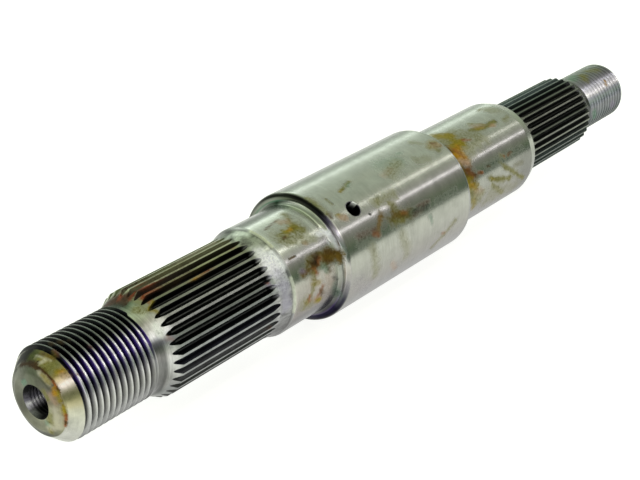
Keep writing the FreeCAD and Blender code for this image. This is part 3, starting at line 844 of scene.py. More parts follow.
# journal by journal, light and shade painted by angle: the same light falls a little differently on each
turn_a = np.interp(theta, [-180, -80, -76, -72, -64, -60, -57, -54, -50, -46, -40, -18, -14, -12, -10, -8, -5, -1, 1, 45, 50, 60, 65, 72, 78, 84, 110, 180],
                   [1, 0.95, 0.76, 0.63, 0.58, 0.62, 0.85, 1.30, 1.42, 1.2, 1.05, 1.1, 1.15, 1.35, 1.5, 1.3, 1.2, 0.8, 1.0, 0.95, 0.80, 0.76, 0.48, 0.42, 0.40, 0.5, 0.8, 1])
turn_b = np.interp(theta, [-180, -72, -66, -60, -54, -50, -40, -30, -20, -15, -13, -9, 5, 9, 14, 20, 28, 34, 40, 60, 80, 180], [1, 1.08, 1.2, 1.14, 0.98, 0.95, 0.92, 0.9, 0.95, 0.84, 0.84, 1.0, 1, 1.12, 1.08, 0.92, 0.85, 0.84, 0.86, 0.88, 0.9, 1])
sel = (zone == GROUND) & (stations > 116.5) & (stations < 313)
# tints by angle: the painted colour of reflections
hue = tone([(-180, (1.0, 1.0, 1.05)), (-60, (1.0, 0.98, 1.05)), (-50, (1.05, 1.0, 1.12)), (-42, (1.12, 1.05, 1.24)), (-34, (1.20, 1.12, 1.33)), (-28, (1.22, 1.18, 1.40)), (-22, (1.18, 1.15, 1.34)), (-16, (1.04, 1.03, 1.14)),
            (-8, (1.0, 1.0, 1.05)), (4, (1.08, 1.0, 1.08)), (12, (1.15, 1.02, 1.10)), (20, (1.04, 1.0, 1.02)), (60, (1.0, 0.98, 1.0)), (180, (1.0, 1.0, 1.05))])
base[sel] *= hue[sel]
sel = (zone == GROUND) & (stations < 146.5) & (stations > 116.5)
base[sel] *= turn_a[sel][:, None]
warm = tone([(-180, g(1.0)), (15, g(1.0)), (28, (1.02, 0.97, 0.97)), (60, (1.03, 0.97, 0.98)), (90, g(1.0)), (180, g(1.0))])
base[sel] *= warm[sel]
# painted light keeps the seat as bright up to its fillet
k = np.clip((stations - 140.5) / 2.5, 0, 1) * np.clip((145.2 - stations) / 0.3, 0, 1) * np.interp(theta, [-180, -80, -60, -45, -18, -8, 0, 180], [0, 0.25, 0.45, 0.6, 0.6, 0.3, 0, 0])
base[sel] *= (1 + k)[sel][:, None]
# the upper highlight is painted weaker near the port end of the main journal
sel = (zone == GROUND) & (stations > 149) & (stations < 241.4)
k = np.clip((196 - stations) / 30, 0, 1) * np.clip(1 - abs(theta + 13.5) / 4.0, 0, 1) * 0.28
base[sel] *= (1 - k)[sel][:, None]
sel = (zone == GROUND) & (stations > 242.3) & (stations < 306.2)
base[sel] *= turn_b[sel][:, None]
# the seat's small chamfer: a painted shade line and a painted highlight line
base[(stations > 116.2) & (stations < 116.7)] *= 0.6
sel = (stations > 117.1) & (stations < 117.7)
base[sel] = np.clip(base[sel] * 1.2, 0, 1)
# the neck before the far thread is darkened
sel = (zone == TURNED) & (stations > 375)
base[sel] *= 0.24

# painted light and shade by angle on the taper at the far seat's end
sel = (zone == GROUND) & (stations > 306.2) & (stations < 313)
base[sel] = tone([(-180, (0.40, 0.41, 0.36)), (-60, (0.34, 0.345, 0.30)), (-40, (0.26, 0.265, 0.21)), (-20, (0.27, 0.275, 0.23)), (0, (0.33, 0.33, 0.30)), (14, (0.46, 0.47, 0.40)), (25, (0.28, 0.29, 0.24)), (60, (0.24, 0.245, 0.23)), (180, (0.40, 0.41, 0.36))])[sel]

OUTLINE = [(0.4, 14.6), (6.2, 19.5), (43, 19.5), (43.3, 19), (45.6, 19), (52.5, 23), (108.6, 23), (116.4, 24.1), (117.3, 25), (144.9, 25), (146.8, 26.9), (146.85, 27.8),
           (149, 30), (241.4, 30), (242.2, 29.2), (242.25, 25), (306, 25), (312.6, 23.1), (312.7, 19.4), (377.1, 19.4), (379.1, 17.5), (382.8, 15.3), (385.5, 15.6), (421.6, 15.6), (423.2, 14.2)]


def place(z, t, r=None):
    x = 30.0 * z
    if r is None:
        r = float(np.interp(x, [p[0] for p in OUTLINE], [p[1] for p in OUTLINE]))
    a = math.radians(t + FRONT)
    return np.array((x, r * math.cos(a), r * math.sin(a)))


stain_light_shade = np.zeros((count, 3))
cover = np.zeros(count)


def stroke(colour, strength, width, *points, rough=1.0):
    """A mark along a line of (station, angle[, radius]) points: stains, painted highlights or painted shade."""
    path = []
    for p, q in zip(points, points[1:] or points[:1]):
        p3, q3 = (tuple(p) + (None,))[:3], (tuple(q) + (None,))[:3]
        n = max(1, int(abs(q3[1] - p3[1]) / 6.0))
        for i in range(n + 1):
            f = i / n
            r = None if p3[2] is None else p3[2] + (q3[2] - p3[2]) * f
            path.append(place(p3[0] + (q3[0] - p3[0]) * f, p3[1] + (q3[1] - p3[1]) * f, r))
    lo = min(p[0] for p in path) - 2.2 * width - 0.5
    hi = max(p[0] for p in path) + 2.2 * width + 0.5
    near = np.nonzero((stations > lo) & (stations < hi))[0]
    if not len(near):
        return
    pts = co[near]
    best = np.full(len(near), 1e9)
    for a, b in zip(path, path[1:] or path[:1]):
        ab = b - a
        f = np.clip(((pts - a) @ ab) / max(float(ab @ ab), 1e-9), 0, 1)
        best = np.minimum(best, np.linalg.norm(pts - a - f[:, None] * ab, axis=1))
    d = best / width + rough * ((n_mid[near] - 0.5) * 1.3 + (n_fine[near] - 0.5) * 1.3)
    c = np.clip((1.75 - d) / 1.55, 0, 1)
    c = min(1.0, strength * (1.35 if width < 1.3 else 1.12)) * c * c * (3 - 2 * c)
    stain_light_shade[near] = stain_light_shade[near] * (1 - c[:, None]) + np.array(colour) * c[:, None]
    cover[near] = cover[near] * (1 - c) + c


GOLD, BRIGHT, OLIVE, FILM = (0.25, 0.19, 0.014), (0.40, 0.20, 0.008), (0.18, 0.165, 0.035), (0.26, 0.25, 0.14)
UMBER, MOSS, PINE, WINE = (0.13, 0.078, 0.009), (0.115, 0.095, 0.018), (0.055, 0.085, 0.055), (0.115, 0.055, 0.038)
BROWN, RED, PINK, BLACK, TEAL, PALE, LILAC = (0.085, 0.042, 0.006), (0.26, 0.085, 0.024), (0.42, 0.27, 0.18), (0.010, 0.007, 0.005), (0.11, 0.22, 0.15), (0.55, 0.50, 0.40), (0.25, 0.20, 0.30)

# near seat
stroke(OLIVE, 0.55, 2.6, (4.15, -19), (4.52, -20))
stroke(FILM, 0.5, 3.2, (4.1, -27), (4.55, -28))
stroke(GOLD, 0.85, 1.7, (4.28, -27), (4.48, -27))
stroke(BRIGHT, 0.6, 0.8, (4.36, -27), (4.42, -27.5))
stroke(OLIVE, 0.55, 1.6, (4.45, -25), (4.52, -36), (4.6, -48))
stroke(PINK, 0.45, 1.6, (4.4, -41), (4.5, -38))
stroke(OLIVE, 0.55, 1.0, (4.15, -27), (4.25, -29))
stroke(OLIVE, 0.55, 1.4, (4.42, -23), (4.55, -21))
stroke(BROWN, 0.95, 0.75, (4.17, -22.5), (4.19, -23))
stroke(BROWN, 0.45, 0.5, (4.06, -41), (4.38, -45), rough=0.4)
stroke(PINK, 0.6, 1.3, (4.4, -9), (4.44, -8))
stroke(RED, 0.4, 0.6, (4.42, -8))
stroke(FILM, 0.5, 1.6, (4.3, -12), (4.62, -8))
stroke(BROWN, 0.75, 0.5, (4.02, -1.5), (4.12, -2), rough=0.4)
stroke(OLIVE, 0.5, 3.0, (4.3, 12), (4.85, 14))
stroke(UMBER, 0.85, 1.5, (4.12, 17.5), (4.38, 15))
stroke(MOSS, 0.6, 2.2, (4.28, 12), (4.38, 7))
stroke(BROWN, 0.92, 2.6, (4.36, 15), (4.5, 10))
stroke(BLACK, 0.55, 1.0, (4.42, 14), (4.5, 11))
stroke(RED, 0.55, 1.2, (4.5, 14), (4.56, 9))
stroke(MOSS, 0.6, 1.2, (4.55, 7), (4.66, 9))
stroke(UMBER, 0.95, 2.8, (4.66, 14), (4.86, 17))
stroke(BROWN, 0.7, 1.4, (4.68, 9), (4.84, 12))
stroke(BROWN, 0.5, 1.0, (4.62, 15), (4.72, 19))
stroke(BLACK, 0.45, 1.3, (4.38, 12), (4.52, 8))
stroke(RED, 0.85, 1.1, (4.36, 19), (4.41, 24))
stroke(OLIVE, 0.65, 1.6, (4.34, 22), (4.3, 31))
stroke(GOLD, 0.5, 1.3, (4.28, 31), (4.42, 33))
stroke(FILM, 0.4, 3.5, (4.1, 48), (4.25, 52))
stroke((0.34, 0.26, 0.20), 0.14, 4.0, (4.3, 30), (4.6, 52))
stroke(OLIVE, 0.5, 1.0, (4.32, 33), (4.22, 44), (4.1, 55))
stroke(RED, 0.5, 0.9, (4.5, 40), (4.36, 50))
stroke(GOLD, 0.45, 1.5, (4.15, 47), (4.2, 50))
stroke(RED, 0.6, 1.1, (4.2, 43), (4.22, 48))
stroke(PINK, 0.6, 1.3, (4.33, 49), (4.42, 52))
stroke(GOLD, 0.7, 1.1, (4.38, 52), (4.48, 56))
stroke(BROWN, 0.5, 1.0, (4.45, 43), (4.5, 48))
stroke(BROWN, 0.45, 0.9, (4.64, 24), (4.7, 29))
stroke(PINK, 0.15, 1.8, (4.6, 30), (4.7, 44))
stroke(BLACK, 0.4, 0.7, (4.74, 37), (4.84, 42))
stroke(TEAL, 0.4, 1.5, (4.56, 21), (4.6, 25))
stroke(TEAL, 0.3, 2.0, (4.78, 48), (4.86, 60))
stroke(BLACK, 0.35, 1.5, (4.8, 54), (4.85, 62))
stroke(LILAC, 0.4, 1.2, (4.12, 14), (4.16, 15))
# main journal
stroke(OLIVE, 0.5, 1.2, (4.98, -42), (4.98, -20))
stroke(BROWN, 0.5, 0.9, (4.97, -14), (5.0, -18))
stroke(GOLD, 0.75, 1.0, (5.12, -14), (5.15, -14))
stroke(PINK, 0.6, 1.5, (5.14, -11), (5.22, -9))
stroke(OLIVE, 0.5, 0.9, (5.18, -25), (5.18, -32))
stroke(GOLD, 0.75, 0.9, (5.52, -32), (5.58, -33))
stroke(OLIVE, 0.7, 0.9, (5.58, -33), (5.72, -35), (5.86, -37))
stroke(TEAL, 0.35, 1.1, (5.72, -33), (5.8, -35))
stroke(FILM, 0.55, 2.4, (5.9, -8), (6.35, -7))
stroke(OLIVE, 0.4, 1.0, (5.92, -6), (5.98, -9))
stroke(OLIVE, 0.4, 0.8, (6.16, -3), (6.2, -3))
stroke(OLIVE, 0.6, 2.2, (6.18, 0), (6.28, 10))
stroke(MOSS, 0.85, 3.2, (6.08, 11), (6.46, 15))
stroke(UMBER, 0.6, 1.7, (6.14, 9), (6.34, 11))
stroke(OLIVE, 0.5, 1.2, (6.1, 14), (6.3, 17))
stroke(BRIGHT, 0.5, 1.1, (5.72, 12), (5.84, 5))
stroke(UMBER, 0.7, 1.6, (5.68, 14), (5.88, 3))
stroke(WINE, 0.5, 2.0, (5.26, 10), (5.62, 12))
stroke(PINE, 0.4, 1.6, (5.2, 15), (5.6, 16))
stroke(RED, 0.45, 1.2, (5.58, 15), (5.68, 17))
stroke(RED, 0.4, 1.3, (6.34, 10), (6.42, 12))
stroke(BLACK, 0.35, 1.0, (5.82, 14), (5.9, 13))
stroke(PINE, 0.55, 1.6, (6.5, 15), (6.95, 16.5))
stroke(BLACK, 0.35, 1.0, (6.6, 15.5), (6.95, 16.5))
stroke(PINE, 0.5, 1.4, (7.15, 16), (7.7, 16))
stroke(WINE, 0.4, 1.0, (6.72, 12), (7.0, 13))
stroke(WINE, 0.3, 1.3, (6.55, 18), (6.75, 18))
stroke(TEAL, 0.25, 4.0, (6.6, -38), (6.95, -34))
stroke(PINK, 0.3, 1.6, (6.45, -26), (6.68, -28))
stroke(FILM, 0.5, 3.0, (6.6, -24), (6.9, -30))
stroke(OLIVE, 0.35, 2.2, (7.28, -25), (7.5, -22))
stroke(OLIVE, 0.35, 1.5, (7.62, -44), (7.7, -38))
stroke(GOLD, 0.55, 2.0, (7.76, -30), (7.93, -32))
stroke(BROWN, 0.6, 0.7, (7.87, -32), (7.93, -31))
stroke(OLIVE, 0.55, 1.6, (7.84, -24), (7.94, -26))
stroke(PINK, 0.4, 1.6, (7.86, -30), (7.95, -27))
stroke(TEAL, 0.3, 1.0, (7.14, -40), (7.2, -39))
stroke(FILM, 0.42, 2.4, (5.48, 24), (5.55, 50))
stroke(FILM, 0.35, 2.6, (6.2, 26), (6.35, 50))
stroke(LILAC, 0.12, 4.0, (5.0, 45), (5.4, 62))
stroke(OLIVE, 0.40, 1.4, (7.12, 61), (7.35, 53), (7.62, 45))
stroke(RED, 0.35, 0.9, (7.28, 50), (7.36, 52))
stroke(PINK, 0.3, 1.4, (5.98, 50), (6.12, 60))
stroke(TEAL, 0.3, 1.0, (6.94, 26), (6.98, 33))
stroke(BLACK, 0.95, 0.5, (5.67, -2.2), (5.69, -2.0), rough=0.3)
# beside the far shoulder
stroke(OLIVE, 0.45, 5.0, (8.65, -34), (9.15, -22))
stroke(FILM, 0.5, 4.0, (8.5, -8), (8.9, -14))
stroke(GOLD, 0.85, 3.2, (8.42, -44), (8.6, -38))
stroke(OLIVE, 0.6, 2.4, (8.32, -36), (8.45, -30))
stroke(GOLD, 0.9, 3.0, (8.36, -21), (8.62, -24))
stroke(BRIGHT, 0.6, 1.4, (8.4, -19), (8.5, -20))
stroke(BRIGHT, 1.0, 3.4, (8.24, -17), (8.42, -9))
stroke(RED, 0.5, 1.2, (8.38, -20), (8.42, -8))
stroke(BROWN, 0.95, 1.5, (8.24, -31), (8.28, -20))
stroke(PINK, 0.85, 1.7, (8.28, -4), (8.45, 1))
stroke(GOLD, 0.7, 2.2, (8.2, -5), (8.24, 6))
stroke(BROWN, 0.95, 3.8, (8.24, 9), (8.42, 17))
stroke(RED, 0.4, 1.6, (8.36, 9), (8.44, 16))
stroke(OLIVE, 0.6, 1.6, (8.22, 8), (8.24, 14))
stroke(GOLD, 0.85, 3.2, (8.27, 22), (8.45, 30))
stroke(BRIGHT, 0.55, 1.4, (8.36, 24), (8.4, 28))
stroke(OLIVE, 0.7, 2.0, (8.32, 33), (8.4, 37))
stroke(PINK, 0.4, 2.0, (8.46, 35), (8.62, 39))
stroke(FILM, 0.6, 3.4, (8.3, 40), (8.62, 46))
stroke(GOLD, 0.6, 1.7, (8.4, 43), (8.46, 54))
stroke(RED, 0.7, 0.9, (8.62, 16.5), (8.72, 18))
stroke(BROWN, 0.6, 0.7, (8.62, 17), (8.66, 17))
stroke(RED, 0.6, 0.9, (8.72, -25), (8.86, -21))
# far seat
stroke(OLIVE, 0.85, 1.5, (9.1, -32), (9.25, -29), (9.45, -26), (9.72, -27))
stroke(GOLD, 0.55, 0.8, (9.2, -29), (9.35, -27.5))
stroke(OLIVE, 0.5, 0.6, (9.2, -42), (9.5, -29), rough=0.6)
stroke(PINK, 0.55, 1.1, (9.54, -24), (9.64, -23))
stroke(PINK, 0.35, 1.6, (9.2, -34), (9.4, -30))
stroke(OLIVE, 0.5, 1.5, (9.92, -22), (10.08, -25))
stroke(OLIVE, 0.4, 0.7, (9.8, -53), (9.88, -56))
stroke(OLIVE, 0.35, 3.0, (9.95, -46), (10.05, -40))
stroke(OLIVE, 0.8, 1.4, (8.88, 28), (9.05, 34), (9.5, 43))
stroke(GOLD, 0.4, 0.8, (8.92, 29), (9.0, 33))
stroke(OLIVE, 0.5, 1.1, (8.95, 38), (9.15, 48), (9.38, 60))
stroke(OLIVE, 0.6, 1.2, (9.32, 24), (9.6, 37), (9.8, 47), (10.02, 56))
stroke(MOSS, 0.22, 1.2, (9.65, 30), (9.9, 33))
stroke(OLIVE, 0.55, 1.3, (9.3, 11), (9.4, 14))
stroke(RED, 0.6, 0.8, (9.38, 13), (9.42, 15))
stroke(RED, 0.6, 0.8, (9.5, 15), (9.62, 14))
stroke(PINE, 0.55, 1.5, (8.85, 14), (9.22, 15))
stroke(PINE, 0.5, 1.4, (9.55, 14), (9.95, 15))
stroke(BROWN, 0.5, 0.7, (8.85, 15), (8.95, 16))
stroke(OLIVE, 0.35, 1.2, (9.25, 18), (9.28, 22))
stroke(FILM, 0.35, 5.0, (8.9, 52), (9.8, 62))
# near spline: dark rust at the tooth ends, thinning along the teeth
RUST, CHAR = (0.20, 0.040, 0.010), (0.048, 0.020, 0.006)
stroke(CHAR, 0.95, 2.6, (1.52, -92), (1.60, -72), (1.64, -60))
stroke(CHAR, 0.95, 2.4, (1.60, -62), (1.74, -54), (1.86, -50))
stroke(CHAR, 0.45, 2.0, (1.70, -74), (2.00, -70), (2.20, -66))
stroke(CHAR, 0.75, 1.8, (1.80, -46), (2.30, -48), (2.60, -44))
stroke(RUST, 0.9, 1.0, (1.70, -42), (1.80, -44), (1.92, -42))
stroke(RUST, 0.85, 0.9, (1.62, -54), (1.72, -56))
stroke(RUST, 0.8, 1.0, (1.86, -52), (2.05, -53))
stroke(RUST, 0.7, 0.9, (1.58, -68), (1.66, -70))
stroke(RED, 0.6, 0.7, (1.84, -62), (1.92, -61))
stroke(RED, 0.6, 0.7, (1.70, -33), (1.76, -34))
stroke(GOLD, 0.7, 0.8, (1.66, -29), (1.76, -31))
stroke(BROWN, 0.6, 1.4, (2.0, -37), (2.5, -41))
stroke(BRIGHT, 0.5, 0.8, (2.38, -31), (2.6, -31))
stroke(RUST, 0.6, 0.8, (2.75, -33), (2.95, -33))
stroke((0.10, 0.085, 0.02), 0.3, 4.0, (2.1, -68), (2.9, -66))
stroke(GOLD, 0.45, 0.8, (2.2, -59), (2.7, -60))
stroke(OLIVE, 0.5, 1.0, (2.5, -66), (3.2, -68))
stroke(RUST, 0.5, 0.9, (2.5, -48), (2.9, -47))
stroke(BROWN, 0.6, 1.0, (2.4, -56), (3.0, -57))
stroke(PALE, 0.3, 1.0, (2.8, -72), (3.5, -74))
stroke(GOLD, 0.45, 1.0, (2.5, -38), (3.2, -38))
stroke(RED, 0.5, 1.2, (3.32, -52), (3.45, -46))
stroke(LILAC, 0.5, 1.2, (3.5, 8), (3.55, 12))
stroke(RED, 0.5, 0.8, (3.48, 6), (3.52, 8))
stroke(RED, 0.3, 1.0, (3.3, 58), (3.5, 60))
# cone
# a painted highlight across the cone
stroke((0.95, 0.95, 0.93), 0.7, 1.5, (1.585, -9), (1.60, 2), rough=0.4)
stroke(OLIVE, 0.6, 1.8, (1.56, -38), (1.6, -30))
stroke(CHAR, 0.8, 1.3, (1.50, -82), (1.56, -66), (1.60, -56))
stroke((0.02, 0.03, 0.015), 0.8, 1.8, (1.46, -76), (1.50, -62))
stroke(GOLD, 0.5, 0.8, (1.66, -26), (1.7, -20))
stroke(BLACK, 0.9, 0.45, (1.63, 44), (1.64, 44.5), rough=0.2)
stroke(RED, 0.35, 1.0, (1.64, 8), (1.68, 12))
# near thread
stroke((0.10, 0.035, 0.015), 0.6, 0.9, (0.2, -34), (0.26, -42))
stroke((0.16, 0.035, 0.012), 0.6, 0.7, (0.27, -4), (0.29, 2))
stroke((0.05, 0.028, 0.006), 0.6, 1.4, (0.35, -56), (0.48, -46))
stroke((0.12, 0.045, 0.03), 0.4, 0.8, (0.62, -26), (0.68, -21))
stroke((0.14, 0.05, 0.03), 0.25, 1.0, (0.75, 14), (0.8, 18))
# painted highlights at the run-out, and a painted glint line on the fillet
stroke((0.92, 0.90, 0.97), 0.75, 2.4, (3.70, -24), (3.76, -12), rough=0.7)
stroke((0.92, 0.89, 0.99), 0.75, 2.6, (3.74, -12), (3.72, 3), rough=0.7)
stroke((0.92, 0.89, 0.99), 0.3, 1.2, (3.62, -16), (3.64, -3), rough=0.9)
stroke((0.50, 0.47, 0.60), 0.5, 2.4, (3.74, 6), (3.76, 18), rough=0.9)
stroke((0.40, 0.38, 0.47), 0.6, 2.6, (3.74, 18), (3.76, 40), rough=0.9)
stroke((0.95, 0.93, 1.0), 0.85, 0.9, (4.83, -12, 25.1), (4.88, -5, 26.0), rough=0.3)
stroke((0.95, 0.93, 1.0), 0.7, 1.0, (4.72, -10), (4.83, -9, 25.1), rough=0.6)
# painted highlights on the corner where the near seat begins and on the run-out and fillet nearby, with darker marks
stroke((0.72, 0.75, 0.62), 0.9, 0.55, (3.896, 14, 24.6), (3.896, 52, 24.6), rough=0.3)
stroke((0.72, 0.73, 0.55), 0.8, 0.5, (3.896, -50, 24.6), (3.896, -20, 24.6), rough=0.4)
stroke((0.05, 0.055, 0.05), 0.5, 1.4, (3.60, -54), (3.66, -58))
stroke((0.80, 0.84, 0.80), 0.5, 1.6, (3.78, -60), (3.82, -50), rough=0.7)
stroke((0.92, 0.92, 0.97), 0.7, 1.2, (3.84, -16), (3.86, 2), rough=0.4)
stroke((0.85, 0.84, 0.95), 0.5, 1.2, (4.87, -6, 26.2), (4.89, 10, 26.8), rough=0.4)
stroke((0.07, 0.07, 0.055), 0.6, 1.8, (3.66, -42), (3.72, -46))
stroke((0.04, 0.045, 0.045), 0.7, 1.3, (3.8, -72), (3.84, -80))
# end face and chamfer
stroke(GOLD, 0.85, 1.3, (0.1, -20), (0.15, -14))
stroke(BRIGHT, 0.6, 0.6, (0.12, -18), (0.14, -16))
stroke(GOLD, 0.6, 1.6, (0.1, -44), (0.15, -40))
stroke(OLIVE, 0.7, 1.6, (0.05, -33), (0.13, -28))
stroke(PALE, 0.5, 0.7, (0.06, -47), (0.1, -43))
stroke(PINK, 0.6, 1.3, (0.12, -12), (0.16, -8))
# near-black painted shade on the chamfer's upper side
stroke((0.004, 0.004, 0.001), 1.0, 2.2, (0.05, -104), (0.09, -74))
stroke((0.004, 0.004, 0.001), 1.0, 1.6, (0.1, -92), (0.15, -74))
stroke((0.05, 0.06, 0.008), 0.8, 1.6, (0.07, -68), (0.12, -60))
stroke(PALE, 0.35, 0.5, (0.1, -60), (0.13, -36), rough=0.5)
stroke(BROWN, 0.4, 0.9, (0.14, -54), (0.17, -34))
stroke((0.03, 0.018, 0.004), 0.9, 0.9, (0.03, -66), (0.04, -52))
stroke((0.035, 0.018, 0.004), 1.0, 1.0, (0.013, -86, 14.6), (0.013, -52, 14.6), rough=0.6)
stroke(BROWN, 0.95, 0.8, (0.013, -54, 14.6), (0.013, -38, 14.6), rough=0.6)
stroke((0.04, 0.020, 0.004), 1.0, 0.62, (0.013, -60, 14.6), (0.013, -34, 14.6), rough=0.4)
stroke((0.055, 0.024, 0.004), 1.0, 0.62, (0.013, -38, 14.6), (0.013, -6, 14.6), rough=0.5)
stroke(RED, 0.75, 0.5, (0.02, -14, 14.6), (0.02, 4, 14.6), rough=0.6)
stroke(BROWN, 0.95, 0.7, (0.013, -2, 14.6), (0.013, 3, 14.6), rough=0.5)
stroke(GOLD, 0.7, 1.0, (-0.005, 4, 14.0), (-0.01, 16, 13.6))
stroke(BRIGHT, 0.7, 0.9, (-0.01, -4, 13.6), (-0.01, 4, 12.6))
stroke(GOLD, 0.8, 0.8, (0.0, 24, 14.3), (0.0, 38, 14.2))
stroke(RED, 0.7, 0.6, (0.013, 40, 14.6), (0.013, 60, 14.6), rough=0.7)
stroke(BROWN, 0.7, 0.5, (0.013, 52, 14.6), (0.013, 56, 14.6), rough=0.5)
stroke(PALE, 0.4, 0.8, (-0.01, -40, 13.4), (-0.012, -14, 13.2))
stroke(GOLD, 0.5, 0.7, (-0.012, -34, 13.4), (-0.012, -14, 13.3))
stroke(OLIVE, 0.8, 1.2, (-0.035, 92, 11.5), (-0.02, 98, 12.6))
stroke(OLIVE, 0.7, 1.3, (-0.037, 78, 8.8), (-0.037, 70, 9.8))
stroke(OLIVE, 0.5, 0.9, (-0.037, 62, 8.0), (-0.037, 50, 9.0))
stroke(TEAL, 0.6, 0.9, (-0.037, -98, 8.6), (-0.037, -84, 8.6))
stroke(TEAL, 0.5, 1.0, (-0.037, 94, 8.6), (-0.037, 88, 9.6))
stroke(PALE, 0.45, 1.8, (-0.037, 36, 10.2), (-0.02, 66, 12.2))
stroke(PALE, 0.4, 1.4, (-0.037, 84, 11.0), (-0.037, 94, 10.4))
stroke(PINK, 0.35, 1.2, (-0.037, 2, 10.6), (-0.03, 16, 11.4))
stroke(OLIVE, 0.55, 1.2, (-0.037, -12, 8.2), (-0.037, 6, 8.4))
# far thread and neck
stroke(OLIVE, 0.6, 2.4, (13.2, -34), (13.32, -46))
stroke(TEAL, 0.4, 2.4, (13.0, -50), (13.2, -62))
stroke(OLIVE, 0.45, 2.2, (13.6, -50), (13.8, -40))
stroke(BRIGHT, 0.9, 0.8, (13.64, -10), (13.66, -8), rough=0.5)
stroke(PINK, 0.6, 1.0, (13.6, -4), (13.62, -1))
stroke(TEAL, 0.5, 1.6, (12.98, 38), (13.05, 52))
stroke(LILAC, 0.35, 2.0, (13.7, 44), (13.75, 50))
# the far side and the underside, out of the camera's sight
stroke(BROWN, 0.7, 3.0, (8.26, 95), (8.3, 120))
stroke(GOLD, 0.75, 3.2, (8.3, 150), (8.4, 178))
stroke(BRIGHT, 0.6, 1.8, (8.28, -175), (8.34, -150))
stroke(BROWN, 0.7, 2.4, (8.26, -130), (8.3, -112))
stroke(GOLD, 0.6, 2.2, (4.3, 150), (4.45, 162))
stroke(BROWN, 0.7, 1.6, (4.4, 156), (4.5, 160))
stroke(OLIVE, 0.5, 2.6, (4.6, -150), (4.7, -135))
stroke(OLIVE, 0.5, 3.0, (5.6, -120), (6.1, -128))
stroke(GOLD, 0.5, 1.8, (7.1, 150), (7.3, 158))
stroke(OLIVE, 0.5, 1.4, (5.4, 130), (6.3, 142))
stroke(RED, 0.4, 1.2, (6.6, -150), (6.7, -148))
stroke(OLIVE, 0.6, 1.5, (9.1, -150), (9.6, -158))
stroke(OLIVE, 0.6, 1.4, (8.9, 120), (9.4, 132))
stroke(BROWN, 0.7, 2.0, (1.8, 150), (2.0, 170))
stroke(OLIVE, 0.5, 5.0, (2.4, -130), (3.0, -140))
cover[(zone == BORE) | (radii < 6.9)] = 0.0
# the rust colour stays on the lands: down in the spaces the stains are painted nearly black, painted shade
sel = (zone == SPLINE) & (tag > 0.12)
stain_light_shade[sel] *= np.interp(theta, [-180, -75, -55, -45, 180], [0.6, 0.6, 0.45, 0.28, 0.28])[sel][:, None]
hole_t = (OIL_A - FRONT + 180.0) % 360.0 - 180.0
glint = (abs(stations - OIL_X) < 3.9) & (radii > 27.2) & (stations > OIL_X + 1.6) & (theta < hole_t - 1.8) & (theta > hole_t - 6) & (zone == BORE)
stain_light_shade[glint] = (1.0, 1.0, 1.0)
cover[glint] = 1.0
# the port's wall: painted light on the left and painted shade, black, on the right, with a lighter painted lip
port = (zone == BORE) & (stations < 27.0) & (radii > 5.0)
wall = tone([(-180, (0.75, 0.70, 0.85)), (-176, (1.0, 0.95, 1.0)), (-170, (0.85, 0.80, 0.95)), (-163, (0.26, 0.24, 0.31)), (-155, (0.11, 0.10, 0.13)), (-140, (0.075, 0.07, 0.085)), (-130, (0.010, 0.010, 0.010)), (-100, (0.001, 0.001, 0.001)),
             (120, (0.001, 0.001, 0.001)), (155, (0.003, 0.003, 0.003)), (163, (0.03, 0.028, 0.035)), (171, (0.18, 0.16, 0.20)), (180, (0.75, 0.70, 0.85))])
k = np.clip(1.0 - (stations - 8.0) / 11.0, 0, 1)[:, None]
lip_tone = (np.clip(1.0 - (stations - 0.3) / 2.0, 0, 1) * np.interp(theta, [-180, 118, 135, 158, 172], [0, 0, 0.08, 0.22, 0]))[:, None]
wall = wall + lip_tone
stain_light_shade[port] = (wall * k + 0.001)[port]
cover[port] = 1.0
safe = np.maximum(cover, 1e-4)[:, None]


def put_colour(name, rgb, alpha):
    a = mesh.attributes.new(name, "FLOAT_COLOR", "POINT")
    a.data.foreach_set("color", np.concatenate([np.clip(rgb, 0, 1), np.clip(alpha, 0, 40)[:, None]], 1).astype(np.float32).ravel())


put_colour("steel_light_shade", base, np.ones(count))
put_colour("gulf", gulf, gulf_a)
put_colour("stain_light_shade", stain_light_shade / safe, cover)

# ---------------------------------------------------------------- materials


